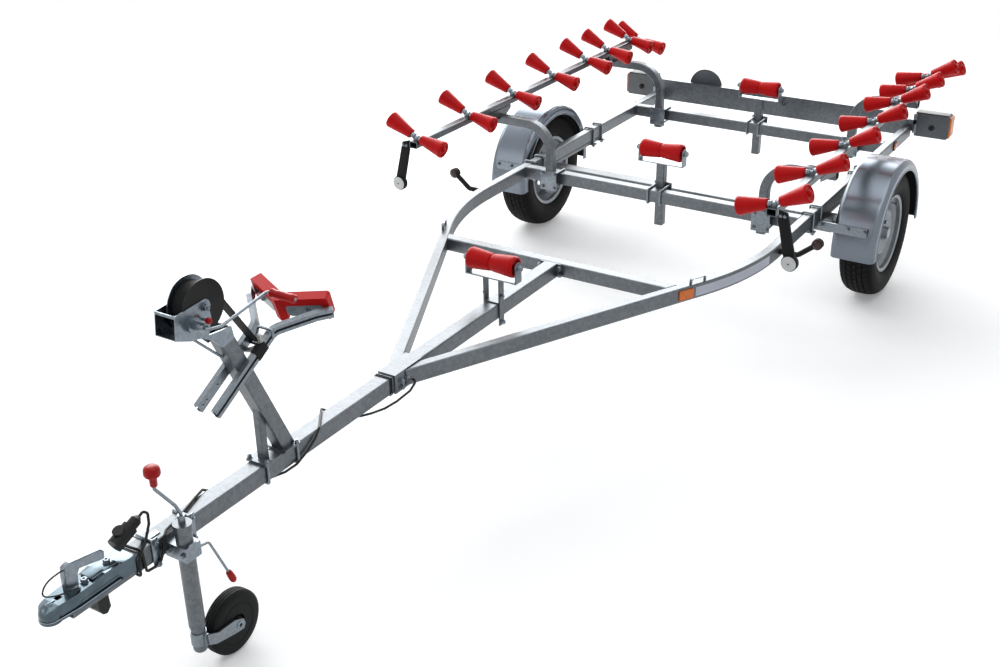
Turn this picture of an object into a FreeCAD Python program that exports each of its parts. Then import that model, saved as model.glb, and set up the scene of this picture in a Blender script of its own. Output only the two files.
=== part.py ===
# Single-axle roller boat trailer, parked on its jockey wheel.
# Millimetres. +X to the trailer's left side as seen from the towing vehicle, +Y to the tail, +Z up.
# The floor is z = 0. The shape is laid out from the axle line (y = 0) and moved so that the box is centred.
# A rise is a height above the frame's top face.
import math
import os

import FreeCAD, Part

Vec = FreeCAD.Vector
X_DIR = Vec(1, 0, 0)
Y_DIR = Vec(0, 1, 0)
Z_DIR = Vec(0, 0, 1)

# Fits and stock
seat_gap = 0.3                  # room between curved faces of different pieces
run_gap = 0.08                  # radial play of a pin in its bore
weld_bite = 0.5                 # depth that a welded piece enters its carrier
sheet = 2.5                     # folded sheet metal
plate = 5.0                     # flat bar and brackets
rod_radius = 4.0                # bent wire and small rods
frame_top = 474.0               # top face of drawbar, rails and cross beams

# Frame tubes
drawbar_side = 60.0
tube_wall = 3.0
tube_corner = 6.0
rail_width = 40.0
rail_height = 60.0
rail_outer_x = 716.0            # outer faces of the parallel rails
rail_rear_y = 1035.0
rail_meet_y = -1058.0           # where the slanted and parallel outer faces would cross
rail_slant_deg = 25.9
rail_bend_radius = 1080.0       # centreline
beam_depth = 50.0
beam_height = 56.0
beam_fronts = (-1414.0, -482.0, 683.0)
sleeve_wall = 5.0
sleeve_ahead = 51.5             # sleeve's ends from where the rails reach it
sleeve_behind = 105.5
end_plate_half = 46.0
end_plate_thick = 6.0
cap_depth = 12.0
loop_y = -1313.0                # tie loop on the rail's outer edge
loop_half = 34.0
loop_rise = 30.0

# Axle and wheels
wheel_x = 878.0
wheel_radius = 289.0
tyre_width = 157.0
tread_width = 118.0
tread_shoulder = 10.0
belly_share = 0.93
upper_wall_share = 0.96
bead_radius = 165.0
tyre_bead_gap = 56.0            # half distance between the tyre's beads
axle_side = 70.0
axle_y = -187.0
axle_drop = 110.0               # axle tube's centre under the frame top
axle_half = 742.0
saddle_front_y = -440.0
saddle_rear_y = 300.0
arm_inner_x = 742.0
arm_outer_x = 772.0
arm_half_width = 34.0
arm_eye_radius = 36.0
stub_radius = 19.0
hub_radius = 62.0
hub_inner_x = 776.0
hub_neck_share = 0.7
hub_flange_x = 900.0            # wheel disc's mounting face
hub_cap_radius = 31.0
hub_cap_face_share = 0.8
hub_cap_end_x = 938.0
rim_half_width = 63.0
rim_lip_radius = 176.0
rim_well_radius = 148.0
rim_sheet = 3.5
rim_disc_radius = 147.0
vent_radius = 11.0
vent_circle = 108.0
vent_count = 8

# Fenders
fender_radius = 338.0
fender_half_width = 98.0
fender_shoulder = 26.0
fender_skirt = 44.0
fender_bead = 4.5
fender_under_deg = 4.0          # how far the flaps reach below the axle's height
stay_height = 40.0
stay_thick = 6.0
stay_top_drop = 55.0            # stay's upper edge under the frame top
stay_outer_x = 932.0

# Roller racks
rack_x = 811.0
rack_width = 40.0
rack_height = 30.0
rack_top = 306.0
rack_front_y = -1196.0
rack_bend_y = 880.0
rack_tail_run = 190.0
rack_tail_deg = 22.0
pair_ys = (-1170.0, -770.0, -375.0, 0.0, 345.0, 580.0, 835.0)
tail_pair_run = 100.0
pair_axle_radius = 6.5
pair_axle_rise = 12.5           # bend of the pair axle above the rack beam
inner_tilt_deg = 14.0
outer_tilt_deg = 26.0
cone_start = 26.0               # from the axle's bend to the cone
cone_length = 120.0
cone_big_radius = 37.0
cone_small_radius = 20.5
cone_rim = 10.0
rack_arm_x = 526.0
rack_arm_side = 40.0
rack_arm_bottom = -88.0
rack_arm_top = 226.0            # centre of the arm's level run
rack_arm_bend = 130.0
rack_arm_end_x = 831.0
gusset_front_reach = 190.0      # bracket under the rack beam, from the front arm
gusset_rear_reach = 168.0
gusset_short_reach = 56.0
gusset_end_depth = 14.0
gusset_root_depth = 46.0

# Keel rollers
keel_roller_length = 200.0
keel_roller_radius = 41.0
keel_waist_radius = 33.0
keel_axle_radius = 8.0
keel_axle_half = 118.0
keel_rise = 172.0               # roller axis on the posts
keel_front_rise = 158.0
keel_front_y = -1841.0
keel_post_side = 40.0
keel_post_bottom = -180.0
fork_half = 105.0
fork_depth = 40.0
fork_floor_drop = 55.0
leg_width = 30.0
leg_thick = 6.0
leg_bottom = -88.0

# Lamps and lamp board
board_depth = 34.0
board_half_length = 690.0
board_low = -55.0
board_high = 59.0
lamp_inner_x = 733.0
lamp_outer_x = 912.0
lamp_low = -50.0
lamp_high = 74.0
lamp_depth = 62.0
lamp_chamfer = 18.0
lens_thick = 8.0
disc_radius = 95.0
disc_thick = 6.0
disc_x = -440.0
disc_rise = 42.0
side_marker_x = 871.0
side_marker_y = -795.0
side_marker_rise = 33.0
side_marker_radius = 22.0
side_marker_thick = 24.0
side_stalk_radius = 11.0
front_marker_x = 892.0
front_marker_y = -1187.0
front_marker_rise = 103.0
front_marker_radius = 27.0
front_marker_thick = 26.0
front_stalk_width = 32.0
front_stalk_thick = 14.0
reflector_y = -1400.0           # amber reflector on the slanted rail's outer face
reflector_length = 69.0
reflector_height = 38.0
reflector_thick = 5.0

# Winch post
post_side = 50.0
post_ahead = 524.0              # post's foot ahead of the sleeve
post_lean = 212.0
post_head_rise = 480.0
strut_side = 25.0
strut_ahead = 90.0
strut_head_share = 0.46
foot_half_x = 38.0
foot_half_y = 34.0
foot_thick = 8.0

# Winch
reel_ahead = 70.0               # reel's axis ahead of the post's head
reel_above = 107.5
guard_radius = 78.0             # fixed disc between the gears and the frame's side
far_flange_radius = 77.0
near_flange_radius = 66.0
reel_half = 21.8                # inner faces of the reel's flanges
reel_core_radius = 20.0
coil_radius = 63.0
shaft_radius = 8.0
gear_module = 2.0
gear_teeth = 50
pinion_teeth = 12
gear_inner_x = 25.2
gear_thick = 4.0
gear_slope_deg = 26.2           # line from the reel's axis forward and down to the crank's axis
winch_side_x = 34.5             # inner faces of the winch frame's sides
frame_front_low = (-116.0, -53.5)       # corners of the winch frame's side, from the reel's axis
frame_front_top = (-108.0, 14.5)
frame_tie_low = (-109.0, 6.5)   # lower edge of the strip that ties the sides in front
frame_rear_top = (14.0, 4.5)
frame_rear_mid = (20.0, -38.5)
frame_rear_low = (3.0, -88.5)
frame_low_mid = (-63.0, -75.5)
frame_apex_radius = 22.0
cheek_line = ((-25.0, -83.4), (3.0, -88.9), (96.0, -99.5), (103.0, -137.5), (56.0, -147.5),
              (18.0, -109.5))  # plates on the post's sides
brace_radius = 4.0              # rod from the winch's floor to the post's front
brace_top = (-39.0, -79.4)      # its upper end, from the reel's axis
brace_drop = 84.0               # its lower end, from the post's head along the post
boss_radius = 22.0
boss_length = 14.0
crank_hub_radius = 12.0
crank_plane_x = 100.0
crank_radius = 4.5
crank_dip = 10.0
crank_dip_run = 48.0
crank_reach = 232.0
crank_end_rise = 17.0
grip_radius = 12.5
grip_length = 88.0
ratchet_stem_radius = 4.0
ratchet_knob_radius = 9.0
ratchet_knob_length = 16.0
ratchet_ahead = 12.0
ratchet_drop = 31.0
strap_width = 42.0
strap_thick = 3.0
strap_end_behind = 143.0        # strap's end behind and under the post's head
strap_end_drop = 100.0
hook_rise = 45.0                # hook's level run above the strap's end
hook_behind = 16.0
hook_drop = 25.0
hook_radius = 4.5

# Bow stop
arm_channel_width = 32.0
arm_channel_depth = 16.0
arm_lip = 11.5
arm_route = ((33.0, -289.0, 260.0), (33.0, -27.0, 409.0), (125.0, 58.0, 443.0), (157.0, 97.0, 446.0))
arm_bend = 45.0
arm_hole_radius = 3.5
arm_holes = (16.0, 34.0, 88.0)  # from the arm's low end
band_from = 205.0               # rubber band round the arm, from its low end
band_length = 46.0
band_thick = 2.0
pad_wing = 152.0                # length of each wing along its top
pad_depth = 36.0
pad_top_thick = 24.0
pad_ear = 78.0                  # how far the ears hang down
pad_ear_thick = 20.0
pad_corner = 6.0
pad_splay_deg = 23.0
pad_climb_deg = 5.6
pad_lean_deg = 16.0
pad_behind = 41.0               # middle of the pads ahead of the post's foot
pad_rise = 481.0
bracket_depth = 38.0

# Coupling
drawbar_overhang = 350.0        # drawbar's nose ahead of the jockey wheel's leg
coupling_ahead = 55.0           # coupling's datum ahead of the drawbar's nose
ball_behind = 10.0              # ball's centre behind the datum
nose_ahead = 21.0               # coupling's foremost point ahead of the datum
cup_half = 32.0
cup_nose_half = 26.0            # plan radius of the shell's nose
cup_taper = 70.0                # where the shell has its full width, from the datum
cup_dome_radius = 29.5
cup_lip_nose = 31.0
cup_lip_half = 39.0
cup_lip_top = -33.0
cup_lip_low = -38.0
cup_low = -42.0
cup_radius = 25.2               # for a 50 mm ball
cup_depth = 20.0
cup_length = 272.0              # from the datum to the rear edge
cup_rear_low = -44.0
cup_clamp_length = 52.0
cup_top_line = ((272.0, 5.0), (169.0, 12.0), (135.0, 6.0), (20.0, 6.0), (-4.0, 1.0), (-16.0, -9.0))
slot_from = 32.0
slot_to = 50.0
slot_half = 8.0
lever_half = 9.0
lever_wall = 3.0
lever_line = ((65.0, 6.0), (65.0, 49.0), (69.0, 80.0), (89.0, 86.0), (184.0, 69.0), (196.0, 57.0),
              (194.0, 35.0), (181.0, 37.0),
              (114.0, 54.0), (106.0, 44.0), (102.0, 6.0))
skid_half = 26.0
skid_line = ((135.0, -60.0), (172.0, -60.0), (174.0, -99.0), (160.0, -113.0), (146.0, -109.0),
             (136.0, -92.0))
safety_radius = 2.2
safety_bend = 11.0
safety_route = ((0.0, 67.0, 72.0), (0.0, 36.0, 73.0), (0.0, 8.0, 62.0), (0.0, -4.0, 38.0),
                (12.0, 18.0, 28.0), (21.0, 50.0, 22.0),
                (21.0, 84.0, 16.0), (21.0, 96.0, 7.9))

# Jockey wheel
jockey_ahead = 504.0            # leg's axis ahead of the post's foot
jockey_x = 80.0
jockey_tube_radius = 24.0
jockey_tube_wall = 2.5
jockey_tube_top = 22.0
jockey_tube_low = -300.0
jockey_leg_radius = 20.5
jockey_leg_low = -390.0
jockey_leg_top = -45.0
jockey_leg_round = 12.0
jockey_sleeve_wall = 3.0
jockey_sleeve_low = -362.0
jockey_sleeve_top = -320.0
jockey_wheel_behind = 128.0
jockey_wheel_radius = 100.0
jockey_wheel_width = 50.0
jockey_axle_radius = 10.0
jockey_strap_gap = 5.0
strap_line = ((4.0, -360.0), (1.0, -323.0), (44.0, -343.0), (112.0, -347.0), (144.0, -362.0),
              (150.0, -382.0), (142.0, -396.0),
              (105.0, -391.0), (31.0, -375.0))
clamp_half_y = 28.0
clamp_top = -16.0
clamp_low = -62.0
clamp_wall = 6.0
clamp_tab = 24.0
clamp_tab_half = 14.0
toggle_route = ((104.0, 28.0, -40.0), (104.0, 62.0, -46.0), (112.0, 112.0, -175.0))
toggle_bend = 16.0
toggle_grip_radius = 9.0
toggle_grip_length = 46.0
collar_radius = 27.0
collar_top = 46.0
spindle_radius = 5.0
spindle_nut_radius = 10.0
spindle_nut_top = 72.0
knob_ahead = 74.0
knob_bend_rise = 100.0
knob_low = 205.0
knob_neck_radius = 10.0
knob_shoulder = 236.0
knob_radius = 23.0
knob_top = 266.0
knob_round = 7.0

# Plug and cable
plug_y_ahead = 168.0            # plug's front end ahead of the jockey wheel's leg
plug_rise = 43.0
plug_tilt_deg = 22.0
plug_radius = 22.0
plug_length = 66.0
plug_neck_radius = 16.0
plug_neck_length = 24.0
plug_tip_length = 14.0
plug_lid_radius = 17.0
plug_lid_thick = 7.0
cable_radius = 4.0
cable_bend = 8.0
holder_half = 10.0
holder_thick = 3.0
holder_line = ((-20.0, 1.5), (-68.0, 1.5), (-110.0, 41.0))      # strip under the plug, from the leg's axis
cable_front = ((0.0, -57.0, 88.0), (5.0, -47.0, 78.0), (12.0, -54.0, 52.0), (26.0, -84.0, 22.0),
               (36.0, -112.0, 6.0),
               (37.0, -126.0, -16.0), (36.0, -128.0, -66.0), (-36.0, -124.0, -66.0), (-36.0, -118.0,
                                                                                      6.0), (36.0, -112.0,
                                                                                             6.0), (36.0,
                                                                                                    -106.0,
                                                                                                    -65.0),
               (38.0, -80.0, -66.0), (40.0, -56.0, -58.0), (40.0, -42.0, -30.0), (37.0, -30.0, 4.0), (22.0,
                                                                                                      -8.0,
                                                                                                      6.0),
               (6.0, 60.0, 5.5), (-23.0, 150.0, 5.5), (-36.0, 192.0, 4.0), (-37.0, 240.0, -30.0), (-36.0,
                                                                                                   290.0,
                                                                                                   -66.0))
cable_rear = ((30.0, -560.0, -66.0), (38.0, -515.0, -60.0), (37.0, -460.0, -42.0), (37.0, -420.0, -18.0),
              (36.0, -398.0, 6.0),
              (-4.0, -342.0, 6.0), (-36.0, -298.0, 5.0), (-37.0, -250.0, -30.0), (-36.0, -205.0,
                                                                                  -66.0), (20.0, -176.0,
                                                                                           -66.0),
              (38.0, -140.0, -68.0), (39.0, -70.0, -84.0), (43.0, -8.0, -86.0), (58.0, 50.0, -68.0), (63.0,
                                                                                                      75.0,
                                                                                                      -46.0),
              (52.4, 81.3, -42.0))

# Places that follow from the ones above
sleeve_half = drawbar_side / 2 + sleeve_wall
rail_lean = math.radians(rail_slant_deg)
rail_cross_y = rail_meet_y - (rail_outer_x - sleeve_half) / math.tan(rail_lean)
sleeve_front_y = rail_cross_y - sleeve_ahead
sleeve_rear_y = rail_cross_y + sleeve_behind
post_foot_y = sleeve_front_y - post_ahead
post_head_y = post_foot_y - post_lean
strut_y = post_foot_y - strut_ahead
jockey_y = post_foot_y - jockey_ahead
drawbar_front_y = jockey_y - drawbar_overhang
coupling_y = drawbar_front_y - coupling_ahead
ball_y = coupling_y + ball_behind
cup_rear_y = coupling_y + cup_length
gear_radius = gear_module * gear_teeth / 2
pinion_radius = gear_module * pinion_teeth / 2
reel_y = post_head_y - reel_ahead
reel_rise = post_head_rise + reel_above
crank_y = reel_y - (gear_radius + pinion_radius) * math.cos(math.radians(gear_slope_deg))
crank_rise = reel_rise - (gear_radius + pinion_radius) * math.sin(math.radians(gear_slope_deg))
jockey_wheel_y = jockey_y + jockey_wheel_behind
boss_end_x = winch_side_x + sheet + boss_length
board_front_y = rail_rear_y + sheet + seat_gap
front_reach = nose_ahead - coupling_y
rear_reach = board_front_y + lamp_depth + lens_thick
shift_y = (front_reach - rear_reach) / 2
parts_folder = "parts"


def high(rise):
    return frame_top + rise


def box(x0, x1, y0, y1, z0, z1):
    return Part.makeBox(x1 - x0, y1 - y0, z1 - z0, Vec(x0, y0, z0))


def cylinder(start, end, radius):
    line = end.sub(start)
    return Part.makeCylinder(radius, line.Length, start, line)


def cone(start, end, radius, end_radius):
    line = end.sub(start)
    return Part.makeCone(radius, end_radius, line.Length, start, line)


def fuse_all(shapes):
    whole = shapes[0]
    if len(shapes) > 1:
        whole = whole.multiFuse(list(shapes[1:]))
    return whole.removeSplitter()


def mirrored(shape):
    return shape.mirror(Vec(0, 0, 0), X_DIR)


def both_sides(shape):
    return Part.makeCompound([shape, mirrored(shape)])


def prism_x(corners, x0, x1):
    """Solid between x0 and x1 with (y, z) corners."""
    points = [Vec(x0, y, z) for y, z in corners]
    points.append(points[0])
    return Part.Face(Part.makePolygon(points)).extrude(Vec(x1 - x0, 0, 0))


def shifted(corners, y, rise):
    """(y, rise) corners from a named place, as (y, z)."""
    return [(y + a, high(rise + b)) for a, b in corners]


def section_wire(width, height, corner):
    """Rounded rectangle in the XZ plane, centred on the origin."""
    w = width / 2
    h = height / 2
    if corner <= 0:
        points = [Vec(-w, 0, -h), Vec(w, 0, -h), Vec(w, 0, h), Vec(-w, 0, h), Vec(-w, 0, -h)]
        return Part.makePolygon(points)
    k = corner * (1 - math.sqrt(1 / 2))
    a = w - corner
    b = h - corner
    arcs = []
    for sx, sz in ((1, -1), (1, 1), (-1, 1), (-1, -1)):
        on_side = Vec(sx * w, 0, sz * b)
        on_end = Vec(sx * a, 0, sz * h)
        first, last = (on_side, on_end) if sx == sz else (on_end, on_side)
        middle = Vec(sx * (w - k), 0, sz * (h - k))
        arcs.append(Part.Arc(first, middle, last).toShape())
    wires = []
    for i, arc in enumerate(arcs):
        after = arcs[(i + 1) % len(arcs)]
        wires.append(arc)
        wires.append(Part.makeLine(arc.Vertexes[-1].Point, after.Vertexes[0].Point))
    return Part.Wire(wires)


def tube_face(width, height, corner, wall):
    face = Part.Face(section_wire(width, height, corner))
    if wall <= 0:
        return face
    inner = section_wire(width - 2 * wall, height - 2 * wall, max(corner - wall, 0))
    return face.cut(Part.Face(inner)).Faces[0]


def round_face(radius):
    return Part.Face(Part.Wire([Part.makeCircle(radius, Vec(0, 0, 0), Y_DIR)]))


def placed(face, place, along, up):
    """A face drawn in the XZ plane, set at place across along; its height runs along up."""
    side = along.cross(up)
    side.normalize()
    top = side.cross(along)
    m = FreeCAD.Matrix()
    m.A11, m.A21, m.A31 = side.x, side.y, side.z
    m.A12, m.A22, m.A32 = along.x, along.y, along.z
    m.A13, m.A23, m.A33 = top.x, top.y, top.z
    m.A14, m.A24, m.A34 = place.x, place.y, place.z
    moved = face.copy()
    moved.transformShape(m)
    return moved


def swept(points, bend, face, up):
    """The face carried along straight runs through the points, joined by arcs of the bend radius."""
    solids = []
    last = points[0]
    for i in range(1, len(points) - 1):
        before = points[i - 1].sub(points[i])
        after = points[i + 1].sub(points[i])
        before.normalize()
        after.normalize()
        half = before.getAngle(after) / 2
        trim = bend / math.tan(half)
        enter = points[i].add(Vec(before).multiply(trim))
        along = Vec(before).multiply(-1)
        if enter.sub(last).Length > weld_bite / 2:
            solids.append(placed(face, last, along, up).extrude(enter.sub(last)))
        inward = before.add(after)
        inward.normalize()
        centre = points[i].add(inward.multiply(bend / math.sin(half)))
        axis = along.cross(after)
        axis.normalize()
        turn = math.degrees(math.pi - 2 * half)
        solids.append(placed(face, enter, along, up).revolve(centre, axis, turn))
        up = FreeCAD.Rotation(axis, turn).multVec(up)
        last = points[i].add(Vec(after).multiply(trim))
    along = points[-1].sub(last)
    along.normalize()
    solids.append(placed(face, last, along, up).extrude(points[-1].sub(last)))
    return fuse_all(solids)


def bent_rod(points, bend, radius):
    """Round rod along straight runs and arcs."""
    first = points[1].sub(points[0])
    up = first.cross(X_DIR) if abs(first.x) < abs(first.y) + abs(first.z) else first.cross(Z_DIR)
    up.normalize()
    return swept(points, bend, round_face(radius), up)


def tube(width, height, corner, wall, start, end, roll=Z_DIR):
    """Straight tube from start to end; its height runs along roll."""
    line = end.sub(start)
    along = Vec(line)
    along.normalize()
    return placed(tube_face(width, height, corner, wall), start, along, roll).extrude(line)


def turned_x(profile, centre):
    """Solid of revolution about a line along X through centre, from (x, radius) points."""
    points = [Vec(x, 0, r) for x, r in profile]
    points.append(points[0])
    face = Part.Face(Part.makePolygon(points))
    solid = face.revolve(Vec(0, 0, 0), X_DIR, 360)
    solid.translate(centre)
    return solid


# Frame
def make_drawbar():
    mid = high(-drawbar_side / 2)
    end_y = beam_fronts[0] - end_plate_thick
    start = Vec(0, drawbar_front_y, mid)
    bar = tube(drawbar_side, drawbar_side, tube_corner, tube_wall, start, Vec(0, end_y, mid))
    end_plate = box(-end_plate_half, end_plate_half, end_y, beam_fronts[0], high(-beam_height), high(0))
    return Part.makeCompound([bar, end_plate])


def make_sleeve():
    half = sleeve_half
    outer = box(-half, half, sleeve_front_y, sleeve_rear_y, high(-drawbar_side - sleeve_wall),
                high(sleeve_wall))
    inner_half = drawbar_side / 2
    inner = box(-inner_half, inner_half, sleeve_front_y, sleeve_rear_y, high(-drawbar_side), high(0))
    return outer.cut(inner)


def rail_outer_at(y):
    """Outer face of the slanted rail at y."""
    return rail_outer_x - (rail_meet_y - y) * math.tan(rail_lean)


def rail_inner_at(y):
    return rail_outer_at(y) - rail_width / math.cos(rail_lean)


def rail_centre_points():
    half = rail_width / 2
    turn_y = rail_meet_y + half * math.tan(rail_lean / 2)
    centre_x = rail_outer_x - half
    z = high(-rail_height / 2)
    run = (centre_x - half) / math.sin(rail_lean)
    start = Vec(centre_x - run * math.sin(rail_lean), turn_y - run * math.cos(rail_lean), z)
    return [start, Vec(centre_x, turn_y, z), Vec(centre_x, rail_rear_y, z)]


def make_rail():
    face = tube_face(rail_width, rail_height, tube_corner, tube_wall)
    rail = swept(rail_centre_points(), rail_bend_radius, face, Z_DIR)
    cut = box(-sleeve_half, sleeve_half, -front_reach, 0, 0, high(rail_height))
    return rail.cut(cut)


def make_cross_beams():
    mid = high(-beam_height / 2)
    inner = rail_outer_x - rail_width
    beams = []
    for y in beam_fronts:
        c = y + beam_depth / 2
        bar = tube(beam_depth, beam_height, tube_corner, tube_wall, Vec(-inner, c, mid), Vec(inner, c, mid))
        if rail_inner_at(y) < inner:
            back = rail_meet_y - rail_width
            outline = [Vec(rail_inner_at(-front_reach), -front_reach, 0), Vec(rail_inner_at(back), back, 0),
                       Vec(rail_outer_x, back, 0), Vec(rail_outer_x, -front_reach, 0)]
            outline.append(outline[0])
            cutter = Part.Face(Part.makePolygon(outline)).extrude(Vec(0, 0, high(rail_height)))
            bar = bar.cut(cutter).cut(mirrored(cutter))
        beams.append(bar)
    return Part.makeCompound(beams)


def make_rail_caps():
    inner_w = rail_width - 2 * tube_wall - weld_bite
    inner_h = rail_height - 2 * tube_wall - weld_bite
    z = high(-rail_height / 2)
    x = rail_outer_x - rail_width / 2
    rear = Vec(x, rail_rear_y, z)
    plug = tube(inner_w, inner_h, tube_wall, 0, Vec(x, rail_rear_y - cap_depth, z), rear)
    lid = tube(rail_width, rail_height, tube_corner, 0, rear, Vec(x, rail_rear_y + sheet, z))
    return both_sides(fuse_all([plug, lid]))


def make_tie_loops():
    slant = Vec(math.sin(rail_lean), math.cos(rail_lean), 0)
    across = Vec(math.cos(rail_lean), -math.sin(rail_lean), 0)
    middle = Vec(rail_outer_at(loop_y), loop_y,
                 high(-tube_corner)).sub(Vec(across).multiply(rod_radius * 2))
    span = Vec(slant).multiply(loop_half)
    rise = Vec(0, 0, loop_rise)
    foot = Vec(0, 0, tube_corner)
    ends = [middle.sub(span).add(foot), middle.sub(span).add(rise), middle.add(span).add(rise),
            middle.add(span).add(foot)]
    strap = swept(ends, rod_radius * 2, tube_face(rod_radius * 3, rod_radius, 0, 0), slant)
    return both_sides(strap)


def make_reflectors():
    slant = Vec(math.sin(rail_lean), math.cos(rail_lean), 0)
    across = Vec(math.cos(rail_lean), -math.sin(rail_lean), 0)
    start = Vec(rail_outer_at(reflector_y), reflector_y,
                high(-rail_height / 2)).add(Vec(across).multiply(reflector_thick / 2))
    lens = tube(reflector_thick, reflector_height, 0, 0, start,
                start.add(Vec(slant).multiply(reflector_length)))
    return both_sides(lens)


# Axle
def make_axle():
    z = high(-axle_drop)
    beam = tube(axle_side, axle_side, tube_corner, 0, Vec(-axle_half, axle_y, z), Vec(axle_half, axle_y, z))
    x0 = rail_outer_x - rail_width
    saddle = box(x0, rail_outer_x, saddle_front_y, saddle_rear_y, z + axle_side / 2, high(-rail_height))
    return fuse_all([beam, saddle, mirrored(saddle)])


def make_swing_arms():
    thick = arm_outer_x - arm_inner_x
    reach = Vec(thick, 0, 0)
    start = Vec(arm_inner_x, axle_y, high(-axle_drop))
    end = Vec(arm_inner_x, 0, wheel_radius)
    middle = Vec(thick / 2, 0, 0)
    web = tube(thick, 2 * arm_half_width, 0, 0, start.add(middle), end.add(middle))
    eye = cylinder(end, end.add(reach), arm_eye_radius)
    root = cylinder(start, start.add(reach), arm_eye_radius)
    stub = cylinder(end, Vec(hub_flange_x, 0, wheel_radius), stub_radius)
    return both_sides(fuse_all([web, eye, root, stub]))


# Wheels
def make_tyre():
    h = tyre_width / 2
    t = tread_width / 2
    g = tyre_bead_gap - seat_gap
    r = wheel_radius
    lip = rim_lip_radius + seat_gap
    belly = (r + bead_radius) / 2
    low = (h * belly_share, (lip + belly) / 2)
    upper = (h * upper_wall_share, (belly + r) / 2)
    half = [(g, bead_radius), (g, lip), low, (h, belly), upper, (t, r - tread_shoulder),
            (t / 2, r - weld_bite), (0, r)]
    profile = half + [(-x, radius) for x, radius in reversed(half[:-1])]
    return turned_x(profile, Vec(wheel_x, 0, wheel_radius))


def make_rim():
    w = rim_half_width
    s = rim_sheet
    g = tyre_bead_gap
    out = bead_radius - seat_gap
    e = w / 3
    lip = rim_lip_radius
    well = rim_well_radius
    outer = [(-w, lip), (-g - s, lip), (-g, out), (-e * 2, out), (-e, well), (e, well), (e * 2, out),
             (g, out), (g + s, lip), (w, lip)]
    inner = [(w, lip - s), (g + s, out - s), (e * 2, out - s), (e, well - s), (-e, well - s),
             (-e * 2, out - s), (-g - s, out - s),
             (-w, lip - s)]
    centre = Vec(wheel_x, 0, wheel_radius)
    barrel = turned_x(outer + inner, centre)
    face = hub_flange_x - wheel_x
    rise = rim_disc_radius / 4
    bore = stub_radius + run_gap
    front = [(face, bore), (face + s, bore), (face + s, hub_radius), (face + rise / 2, hub_radius + rise),
             (face + s, rim_disc_radius)]
    back = [(face - s * 3, well - s), (face - s * 4, well - s), (face - s, rim_disc_radius - s),
            (face + rise / 2 - s, hub_radius + rise), (face, hub_radius)]
    web = turned_x(front + back, centre)
    cap_end = hub_cap_end_x - wheel_x
    cap = turned_x([(face + s, 0), (cap_end, 0), (cap_end, hub_cap_radius * hub_cap_face_share),
                    (face + s, hub_cap_radius)], centre)
    neck = hub_radius * hub_neck_share
    root = hub_inner_x - wheel_x
    hub = turned_x([(root, bore), (face, bore), (face, hub_radius), (face - s * 2, hub_radius),
                    (face - s * 4, neck), (root, neck)], centre)
    wheel = fuse_all([barrel, web, hub, cap])
    for i in range(vent_count):
        a = 2 * math.pi * (i + 1 / 2) / vent_count
        p = Vec(wheel_x, vent_circle * math.cos(a), wheel_radius + vent_circle * math.sin(a))
        wheel = wheel.cut(cylinder(p, p.add(Vec(rim_half_width, 0, 0)), vent_radius))
    return wheel


# Fenders
def fender_face():
    """Cross-section of the arch in the XZ plane, its crown at the fender's radius."""
    h = fender_half_width
    r = fender_radius
    s = fender_shoulder
    t = sheet
    low = r - fender_skirt
    k = s * (1 - math.sqrt(1 / 2))
    j = (s - t) * (1 - math.sqrt(1 / 2))

    def p(x, radius):
        return Vec(x, 0, radius)

    edges = [Part.makeLine(p(-h, low), p(-h, r - s)), Part.Arc(p(-h, r - s), p(k - h, r - k),
                                                               p(s - h, r)).toShape(),
             Part.makeLine(p(s - h, r), p(h - s, r)), Part.Arc(p(h - s, r), p(h - k, r - k),
                                                               p(h, r - s)).toShape(),
             Part.makeLine(p(h, r - s), p(h, low)), Part.makeLine(p(h, low), p(h - t, low)),
             Part.makeLine(p(h - t, low), p(h - t, r - s)),
             Part.Arc(p(h - t, r - s), p(h - t - j, r - t - j), p(h - s, r - t)).toShape(),
             Part.makeLine(p(h - s, r - t), p(s - h, r - t)),
             Part.Arc(p(s - h, r - t), p(t + j - h, r - t - j), p(t - h, r - s)).toShape(),
             Part.makeLine(p(t - h, r - s), p(t - h, low)), Part.makeLine(p(t - h, low), p(-h, low))]
    return Part.Face(Part.Wire(edges))


def make_fender():
    faces = [fender_face()]
    for side in (-1, 1):
        rolled = Vec(side * (fender_half_width - fender_bead / 2), 0, fender_radius - fender_skirt)
        faces.append(Part.Face(Part.Wire([Part.makeCircle(fender_bead, rolled, Y_DIR)])))
    span = 180 + 2 * fender_under_deg
    arches = []
    for face in faces:
        face.rotate(Vec(0, 0, 0), X_DIR, -90 - fender_under_deg)
        arches.append(face.revolve(Vec(0, 0, 0), X_DIR, span))
    arch = fuse_all(arches)
    arch.translate(Vec(wheel_x, 0, wheel_radius))
    return arch


def make_stays():
    top = high(-stay_top_drop)
    low = top - stay_height
    y = math.sqrt(fender_radius ** 2 - (low - wheel_radius) ** 2) + seat_gap
    front = box(rail_outer_x, stay_outer_x, -y - stay_thick, -y, low, top)
    rear = box(rail_outer_x, stay_outer_x, y, y + stay_thick, low, top)
    return both_sides(Part.makeCompound([front, rear]))


# Roller racks
def rack_points():
    z = high(rack_top - rack_height / 2)
    lean = math.radians(rack_tail_deg)
    bend = Vec(rack_x, rack_bend_y, z)
    tail = bend.add(Vec(0, math.cos(lean), -math.sin(lean)).multiply(rack_tail_run))
    return [Vec(rack_x, rack_front_y, z), bend, tail]


def make_rack_beams():
    beam = swept(rack_points(), rack_width * 2, tube_face(rack_height, rack_width, tube_corner, tube_wall),
                 X_DIR)
    return both_sides(beam)


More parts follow.
